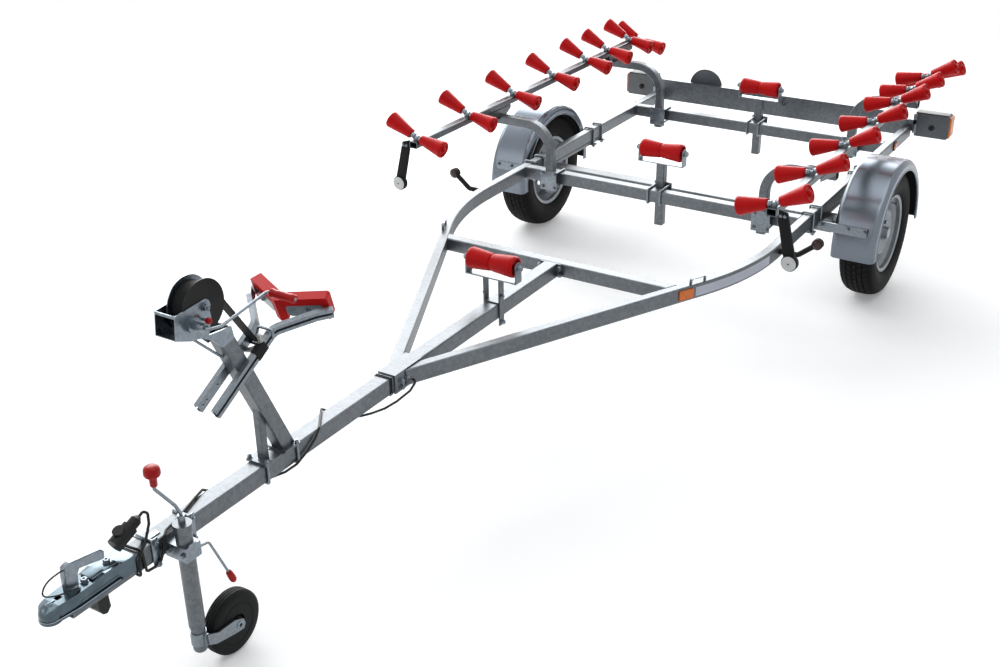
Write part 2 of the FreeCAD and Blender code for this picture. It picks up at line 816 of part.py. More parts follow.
def pair_centres():
    lean = math.radians(rack_tail_deg)
    spots = [Vec(rack_x, y, high(rack_top + pair_axle_rise)) for y in pair_ys]
    along = Vec(0, math.cos(lean), -math.sin(lean))
    up = Vec(0, math.sin(lean), math.cos(lean))
    bend = Vec(rack_x, rack_bend_y, high(rack_top - rack_height / 2))
    spots.append(bend.add(along.multiply(tail_pair_run)).add(up.multiply(rack_height / 2 + pair_axle_rise)))
    return spots


def pair_directions():
    inner = math.radians(inner_tilt_deg)
    outer = math.radians(outer_tilt_deg)
    return Vec(-math.cos(inner), 0, -math.sin(inner)), Vec(math.cos(outer), 0, math.sin(outer))


def make_pair_axles():
    solids = []
    reach = cone_start + cone_length + pair_axle_radius
    for c in pair_centres():
        inner, outer = pair_directions()
        a = c.add(Vec(inner).multiply(reach))
        b = c.add(Vec(outer).multiply(reach))
        rod = bent_rod([a, c, b], pair_axle_radius * 4, pair_axle_radius)
        lean = math.radians(rack_tail_deg if c.y > rack_bend_y else 0)
        up = Vec(0, math.sin(lean), math.cos(lean))
        foot = c.sub(up.multiply(pair_axle_rise - seat_gap))
        block = tube(pair_axle_radius * 2, pair_axle_radius * 4, 0, 0, foot, c, X_DIR)
        solids.append(fuse_all([rod, block]))
    return both_sides(Part.makeCompound(solids))


def cone_roller():
    """Cone roller from its small end at the origin, along +X."""
    big = cone_big_radius
    small = cone_small_radius
    hole = pair_axle_radius + seat_gap
    n = cone_length
    rim = cone_rim
    return turned_x([(0, hole), (0, small), (n - rim, big), (n, big - rim / 2), (n, hole)], Vec(0, 0, 0))


def make_cones():
    solids = []
    for c in pair_centres():
        for direction in pair_directions():
            roller = cone_roller()
            turn = FreeCAD.Rotation(X_DIR, direction)
            roller.Placement = FreeCAD.Placement(c.add(Vec(direction).multiply(cone_start)), turn)
            solids.append(roller)
    return Part.makeCompound(solids)


def rack_bracket(root_y, reach, way):
    """Folded bracket under the rack beam, from the arm's side at root_y; way is its direction along Y."""
    top = rack_top - rack_height
    end = root_y + way * reach
    root = top - gusset_root_depth
    tip = top - gusset_end_depth
    half = rack_width / 2
    outer = prism_x([(root_y, high(top)), (end, high(top)), (end, high(tip)), (root_y, high(root))],
                    rack_x - half, rack_x + half)
    t = sheet
    core = prism_x([(root_y - way * t, high(top - t)), (end + way * t, high(top - t)),
                    (end + way * t, high(root - half)),
                    (root_y - way * t, high(root - half))], rack_x - half + t, rack_x + half - t)
    return outer.cut(core)


def make_rack_arm(front_y, front_reach_y, rear_reach_y):
    y = front_y - rack_arm_side / 2
    half = rack_arm_side / 2
    points = [Vec(rack_arm_x, y, high(rack_arm_bottom)), Vec(rack_arm_x, y, high(rack_arm_top)),
              Vec(rack_arm_end_x, y, high(rack_arm_top))]
    arm = swept(points, rack_arm_bend, tube_face(rack_arm_side, rack_arm_side, tube_corner, tube_wall),
                Y_DIR)
    top = high(rack_top - rack_height)
    saddle = box(rack_x - rack_width / 2, rack_x + rack_width / 2, y - half, y + half,
                 high(rack_arm_top) + half, top)
    front = rack_bracket(y - half, front_reach_y, -1)
    rear = rack_bracket(y + half, rear_reach_y, 1)
    return [arm, saddle, front, rear]


def make_rack_arms():
    pieces = make_rack_arm(beam_fronts[1], gusset_front_reach, gusset_short_reach)
    pieces += make_rack_arm(beam_fronts[2], gusset_short_reach, gusset_rear_reach)
    return both_sides(Part.makeCompound(pieces))


# Keel rollers
def keel_spots():
    behind = beam_depth + keel_post_side / 2
    front = Vec(0, keel_front_y, high(keel_front_rise))
    return [front, Vec(0, beam_fronts[1] + behind, high(keel_rise)),
            Vec(0, beam_fronts[2] + behind, high(keel_rise))]


def make_keel_roller(i):
    h = keel_roller_length / 2
    r = keel_roller_radius
    hole = keel_axle_radius + run_gap
    rim = cone_rim
    outline = [(-h, hole), (-h, r - rim / 2), (rim - h, r), (0, keel_waist_radius), (h - rim, r),
               (h, r - rim / 2), (h, hole)]
    return turned_x(outline, keel_spots()[i])


def make_keel_forks():
    solids = []
    for c in keel_spots():
        floor = c.z - fork_floor_drop
        half = fork_half
        t = plate
        d = fork_depth / 2
        base = box(-half - t, half + t, c.y - d, c.y + d, floor - t, floor)
        ear = box(half, half + t, c.y - d, c.y + d, floor, c.z)
        eye = cylinder(Vec(half, c.y, c.z), Vec(half + t, c.y, c.z), d)
        pin = cylinder(Vec(-keel_axle_half, c.y, c.z), Vec(keel_axle_half, c.y, c.z), keel_axle_radius)
        solids.append(fuse_all([base, ear, eye, mirrored(ear), mirrored(eye), pin]))
    return Part.makeCompound(solids)


def make_keel_posts():
    solids = []
    for c in keel_spots()[1:]:
        low = Vec(0, c.y, high(keel_post_bottom))
        top = Vec(0, c.y, c.z - fork_floor_drop - plate)
        solids.append(tube(keel_post_side, keel_post_side, tube_corner, tube_wall, low, top, Y_DIR))
    c = keel_spots()[0]
    x0 = drawbar_side / 2
    leg = box(x0, x0 + leg_thick, c.y - leg_width / 2, c.y + leg_width / 2, high(leg_bottom),
              c.z - fork_floor_drop - plate)
    tie = box(-x0, x0, c.y - leg_width / 2, c.y + leg_width / 2, high(0), high(plate))
    solids.append(fuse_all([leg, mirrored(leg), tie]))
    return Part.makeCompound(solids)


# Lamps and board
def make_board():
    t = sheet
    y0 = board_front_y
    y1 = y0 + board_depth
    half = board_half_length
    face = box(-half, half, y0, y0 + t, high(board_low), high(board_high))
    upper = box(-half, half, y0, y1, high(board_high) - t, high(board_high))
    lower = box(-half, half, y0, y1, high(board_low), high(board_low) + t)
    return fuse_all([face, upper, lower])


def lamp_outline(x0, x1):
    """Lamp seen from behind, with its outer corners cut off."""
    c = lamp_chamfer
    points = [Vec(x0, 0, high(lamp_low)), Vec(x1 - c, 0, high(lamp_low)), Vec(x1, 0, high(lamp_low) + c),
              Vec(x1, 0, high(lamp_high) - c),
              Vec(x1 - c, 0, high(lamp_high)), Vec(x0, 0, high(lamp_high))]
    points.append(points[0])
    return Part.Face(Part.makePolygon(points))


def make_tail_lamps():
    outline = lamp_outline(lamp_inner_x, lamp_outer_x)
    outline.translate(Vec(0, board_front_y, 0))
    body = outline.extrude(Vec(0, lamp_depth, 0))
    body = body.cut(lens_strip())
    foot = box(board_half_length, lamp_inner_x, board_front_y, board_front_y + board_depth,
               high(board_low / 2), high(board_high / 2))
    return both_sides(fuse_all([body, foot]))


def lens_strip():
    """Room for the side lens at the lamp's outer end."""
    return box(lamp_outer_x - lens_thick, lamp_outer_x, board_front_y, board_front_y + lamp_depth,
               high(lamp_low), high(lamp_high))


def make_lenses():
    outline = lamp_outline(lamp_inner_x, lamp_outer_x)
    outline.translate(Vec(0, board_front_y, 0))
    side = outline.extrude(Vec(0, lamp_depth, 0)).common(lens_strip())
    rear = lamp_outline(lamp_inner_x, lamp_outer_x)
    rear.translate(Vec(0, board_front_y + lamp_depth, 0))
    return both_sides(fuse_all([side, rear.extrude(Vec(0, lens_thick, 0))]))


def make_disc():
    c = Vec(disc_x, board_front_y + board_depth, high(disc_rise))
    return cylinder(c, c.add(Vec(0, disc_thick, 0)), disc_radius)


def make_side_markers():
    c = Vec(side_marker_x, side_marker_y, high(side_marker_rise))
    half = Vec(0, side_marker_thick / 2, 0)
    lamp = cylinder(c.sub(half), c.add(half), side_marker_radius)
    root = Vec(rail_outer_x, side_marker_y, high(-rail_height / 2))
    knee = Vec((rail_outer_x + side_marker_x) / 2, side_marker_y, high(-rail_height / 2))
    stalk = bent_rod([root, knee, c], side_marker_radius, side_stalk_radius)
    return both_sides(fuse_all([lamp, stalk]))


def make_front_markers():
    c = Vec(front_marker_x, front_marker_y, high(front_marker_rise))
    half = Vec(0, front_marker_thick / 2, 0)
    lamp = cylinder(c.sub(half), c.add(half), front_marker_radius)
    face_x = rack_x + rack_width / 2
    top = Vec(face_x + front_stalk_thick / 2 - sheet, front_marker_y, high(rack_top))
    stalk = tube(front_stalk_thick, front_stalk_width, 0, 0, top, c, Y_DIR)
    clear = box(0, face_x, -front_reach, 0, 0, 2 * frame_top)
    return both_sides(fuse_all([lamp, stalk]).cut(clear))


# Winch post
def post_ends():
    return Vec(0, post_foot_y, high(foot_thick)), Vec(0, post_head_y, high(post_head_rise))


def make_winch_post():
    foot, head = post_ends()
    below = foot.add(foot.sub(head).multiply(post_side / (post_head_rise * 2)))
    mast = tube(post_side, post_side, tube_corner, tube_wall, below, head, X_DIR)
    meet = foot.add(head.sub(foot).multiply(strut_head_share))
    strut = tube(strut_side, strut_side, tube_wall, 0, Vec(0, strut_y, high(foot_thick)),
                 Vec(0, strut_y, meet.z), X_DIR)
    ground = box(-post_side * 2, post_side * 2, head.y - post_side, foot.y + post_side * 2, 0,
                 high(foot_thick))
    feet = []
    for y in (strut_y, post_foot_y):
        feet.append(box(-foot_half_x, foot_half_x, y - foot_half_y, y + foot_half_y, high(0),
                        high(foot_thick)))
    return fuse_all([mast.cut(ground), strut] + feet)


# Winch
def frame_side(x0, x1):
    low = [frame_rear_low, frame_low_mid, frame_front_low, frame_front_top, (0.0, frame_apex_radius),
           frame_rear_top, frame_rear_mid]
    flat = prism_x(shifted(low, reel_y, reel_rise), x0, x1)
    apex = cylinder(Vec(x0, reel_y, high(reel_rise)), Vec(x1, reel_y, high(reel_rise)), frame_apex_radius)
    return fuse_all([flat, apex])


def frame_strip(corners, drop_y, drop_rise):
    """Folded sheet between the frame's sides, along the corners."""
    back = [(y + drop_y, rise + drop_rise) for y, rise in reversed(corners)]
    return prism_x(shifted(list(corners) + back, reel_y, reel_rise), -winch_side_x, winch_side_x)


def make_winch_frame():
    right = frame_side(winch_side_x, winch_side_x + sheet)
    bed = frame_strip([frame_front_low, frame_low_mid, frame_rear_low], 0, sheet)
    tie = frame_strip([frame_tie_low, frame_front_top], sheet, 0)
    boss = cylinder(crank_place(winch_side_x, 0, 0), crank_place(boss_end_x, 0, 0), boss_radius)
    shell = fuse_all([right, mirrored(right), bed, tie, boss, make_winch_brace()])
    for y, rise in ((reel_y, reel_rise), (crank_y, crank_rise)):
        start = Vec(-boss_end_x if y == reel_y else 0, y, high(rise))
        shell = shell.cut(cylinder(start, Vec(boss_end_x * 2, y, high(rise)), shaft_radius + run_gap))
    cheek = prism_x(shifted(cheek_line, reel_y, reel_rise), post_side / 2, post_side / 2 + plate)
    return Part.makeCompound([shell, cheek, mirrored(cheek)])


def make_winch_brace():
    foot, head = post_ends()
    lean = head.sub(foot)
    lean.normalize()
    ahead = Vec(0, -lean.z, lean.y).multiply(post_side / 2 + brace_radius)
    low = head.sub(Vec(lean).multiply(brace_drop)).add(ahead)
    return cylinder(Vec(0, reel_y + brace_top[0], high(reel_rise + brace_top[1])), low, brace_radius)


def make_winch_drum():
    h = reel_half
    g = gear_inner_x
    end = winch_side_x + sheet
    outline = [(-end, 0), (-end, shaft_radius), (-h - sheet, shaft_radius), (-h - sheet, far_flange_radius),
               (-h, far_flange_radius),
               (-h, reel_core_radius), (h, reel_core_radius), (h, near_flange_radius), (h + sheet,
                                                                                        near_flange_radius),
               (h + sheet, shaft_radius), (g, shaft_radius), (g, gear_radius), (g + gear_thick,
                                                                                gear_radius),
               (g + gear_thick, shaft_radius), (end, shaft_radius), (end, 0)]
    return turned_x(outline, Vec(0, reel_y, high(reel_rise)))


def make_gear_guard():
    outer = winch_side_x - seat_gap
    disc = cylinder(Vec(outer - sheet, reel_y, high(reel_rise)), Vec(outer, reel_y, high(reel_rise)),
                    guard_radius)
    for y, rise in ((reel_y, reel_rise), (crank_y, crank_rise)):
        disc = disc.cut(cylinder(Vec(0, y, high(rise)), Vec(boss_end_x, y, high(rise)),
                                 shaft_radius + run_gap))
    return disc


def make_strap_coil():
    h = strap_width / 2
    outline = [(-h, reel_core_radius), (-h, coil_radius), (h, coil_radius), (h, reel_core_radius)]
    return turned_x(outline, Vec(0, reel_y, high(reel_rise)))


def crank_place(x, dy, rise):
    return Vec(x, crank_y + dy, high(crank_rise + rise))


def make_winch_crank():
    g = gear_inner_x
    p = pinion_radius - seat_gap
    hub_end = crank_plane_x - crank_hub_radius
    outline = [(g, 0), (g, p), (g + gear_thick, p), (g + gear_thick, shaft_radius),
               (boss_end_x + seat_gap, shaft_radius),
               (boss_end_x + seat_gap, crank_hub_radius), (hub_end, crank_hub_radius), (hub_end, 0)]
    shaft = turned_x(outline, crank_place(0, 0, 0))
    route = [crank_place(hub_end - plate, 0, 0), crank_place(crank_plane_x, 0, 0),
             crank_place(crank_plane_x, crank_dip_run, -crank_dip), crank_place(crank_plane_x, crank_reach,
                                                                                crank_end_rise),
             crank_place(crank_plane_x + grip_length + grip_radius, crank_reach, crank_end_rise)]
    return fuse_all([shaft, bent_rod(route, crank_radius * 2, crank_radius)])


def make_crank_grip():
    start = crank_place(crank_plane_x + grip_radius, crank_reach, crank_end_rise)
    end = start.add(Vec(grip_length, 0, 0))
    cap = start.add(Vec(grip_length + seat_gap * 2, 0, 0))
    return cylinder(start, end, grip_radius).cut(cylinder(start, cap, crank_radius + run_gap))


def strap_end():
    return Vec(0, post_head_y + strap_end_behind, high(post_head_rise - strap_end_drop))


def make_strap():
    centre = Vec(0, reel_y, high(reel_rise))
    end = strap_end()
    radius = coil_radius + seat_gap + strap_thick / 2
    line = end.sub(centre)
    slope = math.atan2(line.z, line.y) + math.acos(radius / line.Length)
    start = centre.add(Vec(0, math.cos(slope), math.sin(slope)).multiply(radius))
    strip = tube(strap_width, strap_thick, 0, 0, start, end)
    half = strap_width / 2
    loop = cylinder(Vec(-half, end.y, end.z), Vec(half, end.y, end.z), hook_radius + strap_thick)
    room = cylinder(Vec(-strap_width, end.y, end.z), Vec(strap_width, end.y, end.z), hook_radius + run_gap)
    mouth = tube(strap_width / 2, hook_radius * 4, 0, 0, end, hook_points()[1])
    return fuse_all([strip, loop]).cut(room).cut(mouth)


def hook_points():
    end = strap_end()
    outer = post_side / 2 + arm_channel_depth + hook_radius * 3
    over = Vec(0, end.y + hook_behind, end.z + hook_rise)
    return [end, over, over.add(Vec(outer, 0, 0)), over.add(Vec(outer, 0, -hook_drop))]


def make_strap_hook():
    """Bar through the strap's end, and a hook over the left arm of the bow stop."""
    half = Vec(strap_width / 2, 0, 0)
    bar = cylinder(strap_end().sub(half), strap_end().add(half), hook_radius)
    return fuse_all([bar, bent_rod(hook_points(), hook_radius * 2, hook_radius)])


# Bow stop
def arm_points():
    return [Vec(x, post_foot_y + y, high(rise)) for x, y, rise in arm_route]


def lipped_face():
    """Channel open to +X, with lips."""
    w = arm_channel_depth / 2
    h = arm_channel_width / 2
    t = sheet
    lip = arm_lip
    corners = [(-w, -h), (w, -h), (w, lip - h), (w - t, lip - h), (w - t, t - h), (t - w, t - h),
               (t - w, h - t), (w - t, h - t), (w - t, h - lip), (w, h - lip), (w, h), (-w, h)]
    points = [Vec(x, 0, z) for x, z in corners]
    points.append(points[0])
    return Part.Face(Part.makePolygon(points))


def along_arm(distance):
    """Point on the arm's straight part at a distance from its low end, and the arm's direction."""
    points = arm_points()
    along = points[1].sub(points[0])
    along.normalize()
    return points[0].add(Vec(along).multiply(distance)), along


def make_bow_arms():
    arm = swept(arm_points(), arm_bend, lipped_face(), Vec(0, 0, 1))
    for distance in arm_holes:
        p, along = along_arm(distance)
        arm = arm.cut(cylinder(p.sub(Vec(arm_channel_depth, 0, 0)), p.add(Vec(arm_channel_depth, 0, 0)),
                               arm_hole_radius))
    return both_sides(arm)


def make_arm_band():
    start, along = along_arm(band_from)
    end = start.add(Vec(along).multiply(band_length))
    t = band_thick * 2
    outer = tube(arm_channel_depth + t, arm_channel_width + t, band_thick, 0, start, end)
    return outer.cut(tube(arm_channel_depth, arm_channel_width, 0, 0, start, end))


def pad_frame():
    """Middle of the pads' top edge, and the left wing's directions: out, forward and up."""
    splay = math.radians(pad_splay_deg)
    climb = math.radians(pad_climb_deg)
    lean = math.radians(pad_lean_deg)
    out = Vec(math.cos(climb) * math.cos(splay), math.cos(climb) * math.sin(splay), math.sin(climb))
    forward = Vec(math.sin(splay) * math.cos(lean), -math.cos(splay) * math.cos(lean), -math.sin(lean))
    up = forward.cross(out)
    up.normalize()
    forward = out.cross(up)
    return Vec(0, post_foot_y + pad_behind, high(pad_rise)), out, forward, up


def pad_wing_solid(corners, depth_from, depth_to):
    """Solid with (out, up) corners of the left wing, between two depths."""
    origin, out, forward, up = pad_frame()
    start = origin.add(Vec(forward).multiply(depth_from))
    points = [start.add(Vec(out).multiply(a)).add(Vec(up).multiply(b)) for a, b in corners]
    points.append(points[0])
    return Part.Face(Part.makePolygon(points)).extrude(Vec(forward).multiply(depth_to - depth_from))


def make_bow_pads():
    n = pad_wing
    t = pad_top_thick
    e = pad_ear_thick
    low = -pad_ear
    c = pad_corner
    corners = [(-e * 2, 0), (n - c, 0), (n, -c), (n, low + c), (n - c, low), (n - e + c, low),
               (n - e, low + c), (n - e, -t - c),
               (n - e - c, -t), (e + c, -t), (e, -t - c), (e, low + c), (e - c, low), (-e * 2, low)]
    half = pad_depth / 2
    wing = pad_wing_solid(corners, -half, half)
    keep = box(0, n * 2, post_foot_y - n, post_foot_y + n * 2, high(0), high(pad_rise * 2))
    wing = wing.common(keep)
    return fuse_all([wing, mirrored(wing)])


def make_pad_brackets():
    n = pad_wing
    t = pad_top_thick
    e = pad_ear_thick
    c = pad_corner
    low = -t - bracket_depth
    corners = [(e + c, -t), (n - e - c, -t), (n - e, -t - c), (n - e, low + c * 2), (n - e - c * 2, low),
               (e + c * 2, low), (e, low + c * 2), (e, -t - c)]
    depth = pad_depth / 2
    front = pad_wing_solid(corners, depth - plate, depth)
    return both_sides(front)


# Coupling
def nose_plan(half, nose_radius, nose_y, low, top):
    """Block with a tapered, round nose seen from above."""
    taper_y = coupling_y + cup_taper
    z0 = high(low)
    points = [Vec(-nose_radius, nose_y, z0), Vec(nose_radius, nose_y, z0), Vec(half, taper_y, z0),
              Vec(half, cup_rear_y, z0), Vec(-half, cup_rear_y, z0), Vec(-half, taper_y,
                                                                         z0), Vec(-nose_radius, nose_y, z0)]
    body = Part.Face(Part.makePolygon(points)).extrude(Vec(0, 0, top - low))
    return fuse_all([body, Part.makeCylinder(nose_radius, top - low, Vec(0, nose_y, z0))])


def make_coupling():
    low = cup_lip_low
    centre = Vec(0, ball_y, high(cup_low + cup_depth))
    front = cup_top_line[-1]
    corners = shifted([(cup_length, low)] + list(cup_top_line) + [(front[0], low)], coupling_y, 0)
    shell = prism_x(corners, -cup_half, cup_half)
    shell = shell.common(nose_plan(cup_half, cup_nose_half, ball_y, low, cup_half))
    dome = Part.makeSphere(cup_dome_radius, centre)
    dome = dome.cut(box(-cup_half, cup_half, ball_y - cup_half, ball_y + cup_half, high(-drawbar_side),
                        high(low)))
    cup = Part.makeCylinder(cup_dome_radius, low - cup_low + weld_bite, Vec(0, ball_y, high(cup_low)))
    rear = cup_rear_y - cup_clamp_length
    clamp = box(-cup_half, cup_half, rear, cup_rear_y, high(cup_rear_low), high(low) + weld_bite)
    lip = nose_plan(cup_lip_half, cup_lip_nose, ball_y, low, cup_lip_top)
    lip = lip.cut(box(-cup_lip_half, cup_lip_half, rear, cup_rear_y, high(low), high(cup_lip_top)))
    shell = fuse_all([shell, dome, cup, clamp, lip])
    room = box(-drawbar_side / 2, drawbar_side / 2, drawbar_front_y, cup_rear_y + plate,
               high(-drawbar_side), high(0))
    wall = cup_half - plate
    ahead = ball_y + cup_half
    hollow = box(-wall, wall, ahead, drawbar_front_y, high(-drawbar_side), high(-plate))
    mouth = cylinder(Vec(0, ball_y, high(cup_low)), centre, cup_radius)
    slot = box(-slot_half, slot_half, coupling_y + slot_from, coupling_y + slot_to, high(-plate * 2),
               high(cup_half))
    for space in (room, hollow, Part.makeSphere(cup_radius, centre), mouth, slot):
        shell = shell.cut(space)
    return shell


def make_lever():
    t = lever_wall
    points = [Vec(0, y, z) for y, z in shifted(lever_line, coupling_y, 0)]
    points.append(points[0])
    face = Part.Face(Part.makePolygon(points))
    outer = face.copy()
    outer.translate(Vec(-lever_half, 0, 0))
    outer = outer.extrude(Vec(2 * lever_half, 0, 0))
    inner = face.makeOffset2D(-t)
    inner.translate(Vec(t - lever_half, 0, 0))
    room = inner.extrude(Vec(2 * (lever_half - t), 0, 0))
    for drop in (t, 2 * t):
        lower = room.copy()
        lower.translate(Vec(0, 0, -drop))
        outer = outer.cut(lower)
    return outer.cut(room)


def make_skid():
    return prism_x(shifted(skid_line, coupling_y, 0), -skid_half, skid_half)


def make_safety_cable():
    points = [Vec(x, coupling_y + y, high(rise)) for x, y, rise in safety_route]
    return bent_rod(points, safety_bend, safety_radius)


# Jockey wheel
def leg_place(rise):
    return Vec(jockey_x, jockey_y, high(rise))


def make_jockey_clamp():
    x0 = drawbar_side / 2
    x1 = jockey_x + jockey_tube_radius + clamp_wall
    h = clamp_half_y
    block = box(x0, x1, jockey_y - h, jockey_y + h, high(clamp_low), high(clamp_top))
    tab = box(x1 - clamp_tab, x1, jockey_y - clamp_tab_half, jockey_y + clamp_tab_half, high(clamp_top),
              high(clamp_top + clamp_wall))
    hole = cylinder(leg_place(clamp_low), leg_place(clamp_top + clamp_tab), jockey_tube_radius + run_gap)
    points = [Vec(x, jockey_y + y, high(rise)) for x, y, rise in toggle_route]
    return fuse_all([block, tab, bent_rod(points, toggle_bend, rod_radius)]).cut(hole)


def make_jockey_tube():
    outer = cylinder(leg_place(jockey_tube_low), leg_place(jockey_tube_top), jockey_tube_radius)
    inner = cylinder(leg_place(jockey_tube_low), leg_place(jockey_tube_top - plate),
                     jockey_tube_radius - jockey_tube_wall)
    collar = cylinder(leg_place(jockey_tube_top), leg_place(collar_top), collar_radius)
    return fuse_all([outer.cut(inner), collar])


def make_jockey_crank():
    nut = cylinder(leg_place(collar_top), leg_place(spindle_nut_top), spindle_nut_radius)
    tilt = Vec(0, -knob_ahead / 5, 0)
    points = [leg_place(spindle_nut_top - plate), leg_place(spindle_nut_top + plate),
              leg_place(knob_bend_rise + plate * 2).add(tilt),
              Vec(jockey_x, jockey_y - knob_ahead, high(knob_low - plate * 2)), Vec(jockey_x,
                                                                                    jockey_y - knob_ahead,
                                                                                    high(knob_low) + plate)]
    return fuse_all([nut, bent_rod(points, plate, spindle_radius)])


def make_knobs():
    """Red knobs: on the jockey wheel's crank, the clamp's toggle and the winch's ratchet."""
    r = knob_radius
    profile = [(knob_low, 0), (knob_low, knob_neck_radius), (knob_shoulder, knob_neck_radius),
               (knob_shoulder, r), (knob_top - knob_round, r),
               (knob_top, r - knob_round), (knob_top, 0)]
    points = [Vec(radius, 0, rise) for rise, radius in profile]
    points.append(points[0])
    knob = Part.Face(Part.makePolygon(points)).revolve(Vec(0, 0, 0), Z_DIR, 360)
    knob.translate(Vec(jockey_x, jockey_y - knob_ahead, high(0)))
    core = cylinder(Vec(jockey_x, jockey_y - knob_ahead, high(0)),
                    Vec(jockey_x, jockey_y - knob_ahead, high(knob_low) + plate), spindle_radius)
    points = [Vec(x, jockey_y + y, high(rise)) for x, y, rise in toggle_route]
    along = points[2].sub(points[1])
    along.normalize()
    tip = points[2].add(Vec(along).multiply(toggle_grip_length))
    grip = cone(points[2], tip, toggle_grip_radius, toggle_grip_radius * 1.2)
    x0 = winch_side_x + sheet
    y = reel_y - ratchet_ahead
    z = high(reel_rise - ratchet_drop)
    stem = cylinder(Vec(x0, y, z), Vec(boss_end_x + plate, y, z), ratchet_stem_radius)
    tip = Vec(boss_end_x + ratchet_knob_length, y, z)
    ratchet = cylinder(Vec(boss_end_x, y, z), tip, ratchet_knob_radius)
    return Part.makeCompound([knob.cut(core), grip, fuse_all([stem, ratchet])])


def make_jockey_leg():
    low = leg_place(jockey_leg_low)
    shaft = cylinder(low, leg_place(jockey_leg_top), jockey_leg_radius)
    ring = [e for e in shaft.Edges if e.BoundBox.ZMax < low.z + seat_gap]
    return shaft.makeFillet(jockey_leg_round, ring)


def make_jockey_fork():
    bore = jockey_leg_radius + run_gap
    half = jockey_wheel_width / 2 + jockey_strap_gap
    sleeve = cylinder(leg_place(jockey_sleeve_low), leg_place(jockey_sleeve_top), bore + jockey_sleeve_wall)
    strap = prism_x(shifted(strap_line, jockey_y, 0), jockey_x + half, jockey_x + half + plate)
    other = strap.copy()
    other.translate(Vec(-2 * half - plate, 0, 0))
    reach = bore + jockey_sleeve_wall / 2
    bridge = box(jockey_x - half, jockey_x + half, jockey_y - plate, jockey_y + plate * 2,
                 high(jockey_sleeve_low), high(jockey_sleeve_top - plate))
    z = jockey_wheel_radius
    pin = cylinder(Vec(jockey_x - half - plate, jockey_wheel_y, z),
                   Vec(jockey_x + half + plate, jockey_wheel_y, z), jockey_axle_radius)
    room = cylinder(leg_place(jockey_leg_low - plate), leg_place(jockey_sleeve_top + plate), bore)
    return fuse_all([sleeve, strap, other, bridge, pin]).cut(room)


def make_jockey_wheel():
    h = jockey_wheel_width / 2
    r = jockey_wheel_radius
    b = jockey_axle_radius + run_gap
    s = r / 16
    profile = [(-h, b), (-h, r - s), (s - h, r), (h - s, r), (h, r - s), (h, b)]
    return turned_x(profile, Vec(jockey_x, jockey_wheel_y, jockey_wheel_radius))


# Plug and cable
def plug_axis():
    tilt = math.radians(plug_tilt_deg)
    return Vec(0, jockey_y - plug_y_ahead, high(plug_rise)), Vec(0, math.cos(tilt), math.sin(tilt))


def make_plug():
    start, along = plug_axis()
    a = start.add(Vec(along).multiply(plug_length))
    b = a.add(Vec(along).multiply(plug_neck_length))
    c = b.add(Vec(along).multiply(plug_tip_length))
    body = cylinder(start, a, plug_radius)
    neck = cylinder(a, b, plug_neck_radius)
    tip = cone(b, c, plug_neck_radius, cable_radius + weld_bite)
    across = along.cross(X_DIR)
    over = start.add(Vec(along).multiply(plug_length / 2)).sub(Vec(across).multiply(plug_radius - weld_bite))
    lid = cylinder(over, over.sub(Vec(across).multiply(plug_lid_thick)), plug_lid_radius)
    return fuse_all([body, neck, tip, lid])


def make_plug_holder():
    points = [Vec(0, jockey_y + y, high(rise)) for y, rise in holder_line]
    return swept(points, plate, tube_face(holder_half * 2, holder_thick, 0, 0), Z_DIR)


def make_cable():
    start, along = plug_axis()
    tip = start.add(Vec(along).multiply(plug_length + plug_neck_length + plug_tip_length + seat_gap))
    points = [tip]
    points += [Vec(x, jockey_y + y, high(rise)) for x, y, rise in cable_front]
    points += [Vec(x, sleeve_front_y + y, high(rise)) for x, y, rise in cable_rear]
    return bent_rod(points, cable_bend, cable_radius)


def export(name, shape):
    moved = shape.copy()
    moved.translate(Vec(0, shift_y, 0))
    moved.exportStep(os.path.join(parts_folder, name + ".step"))


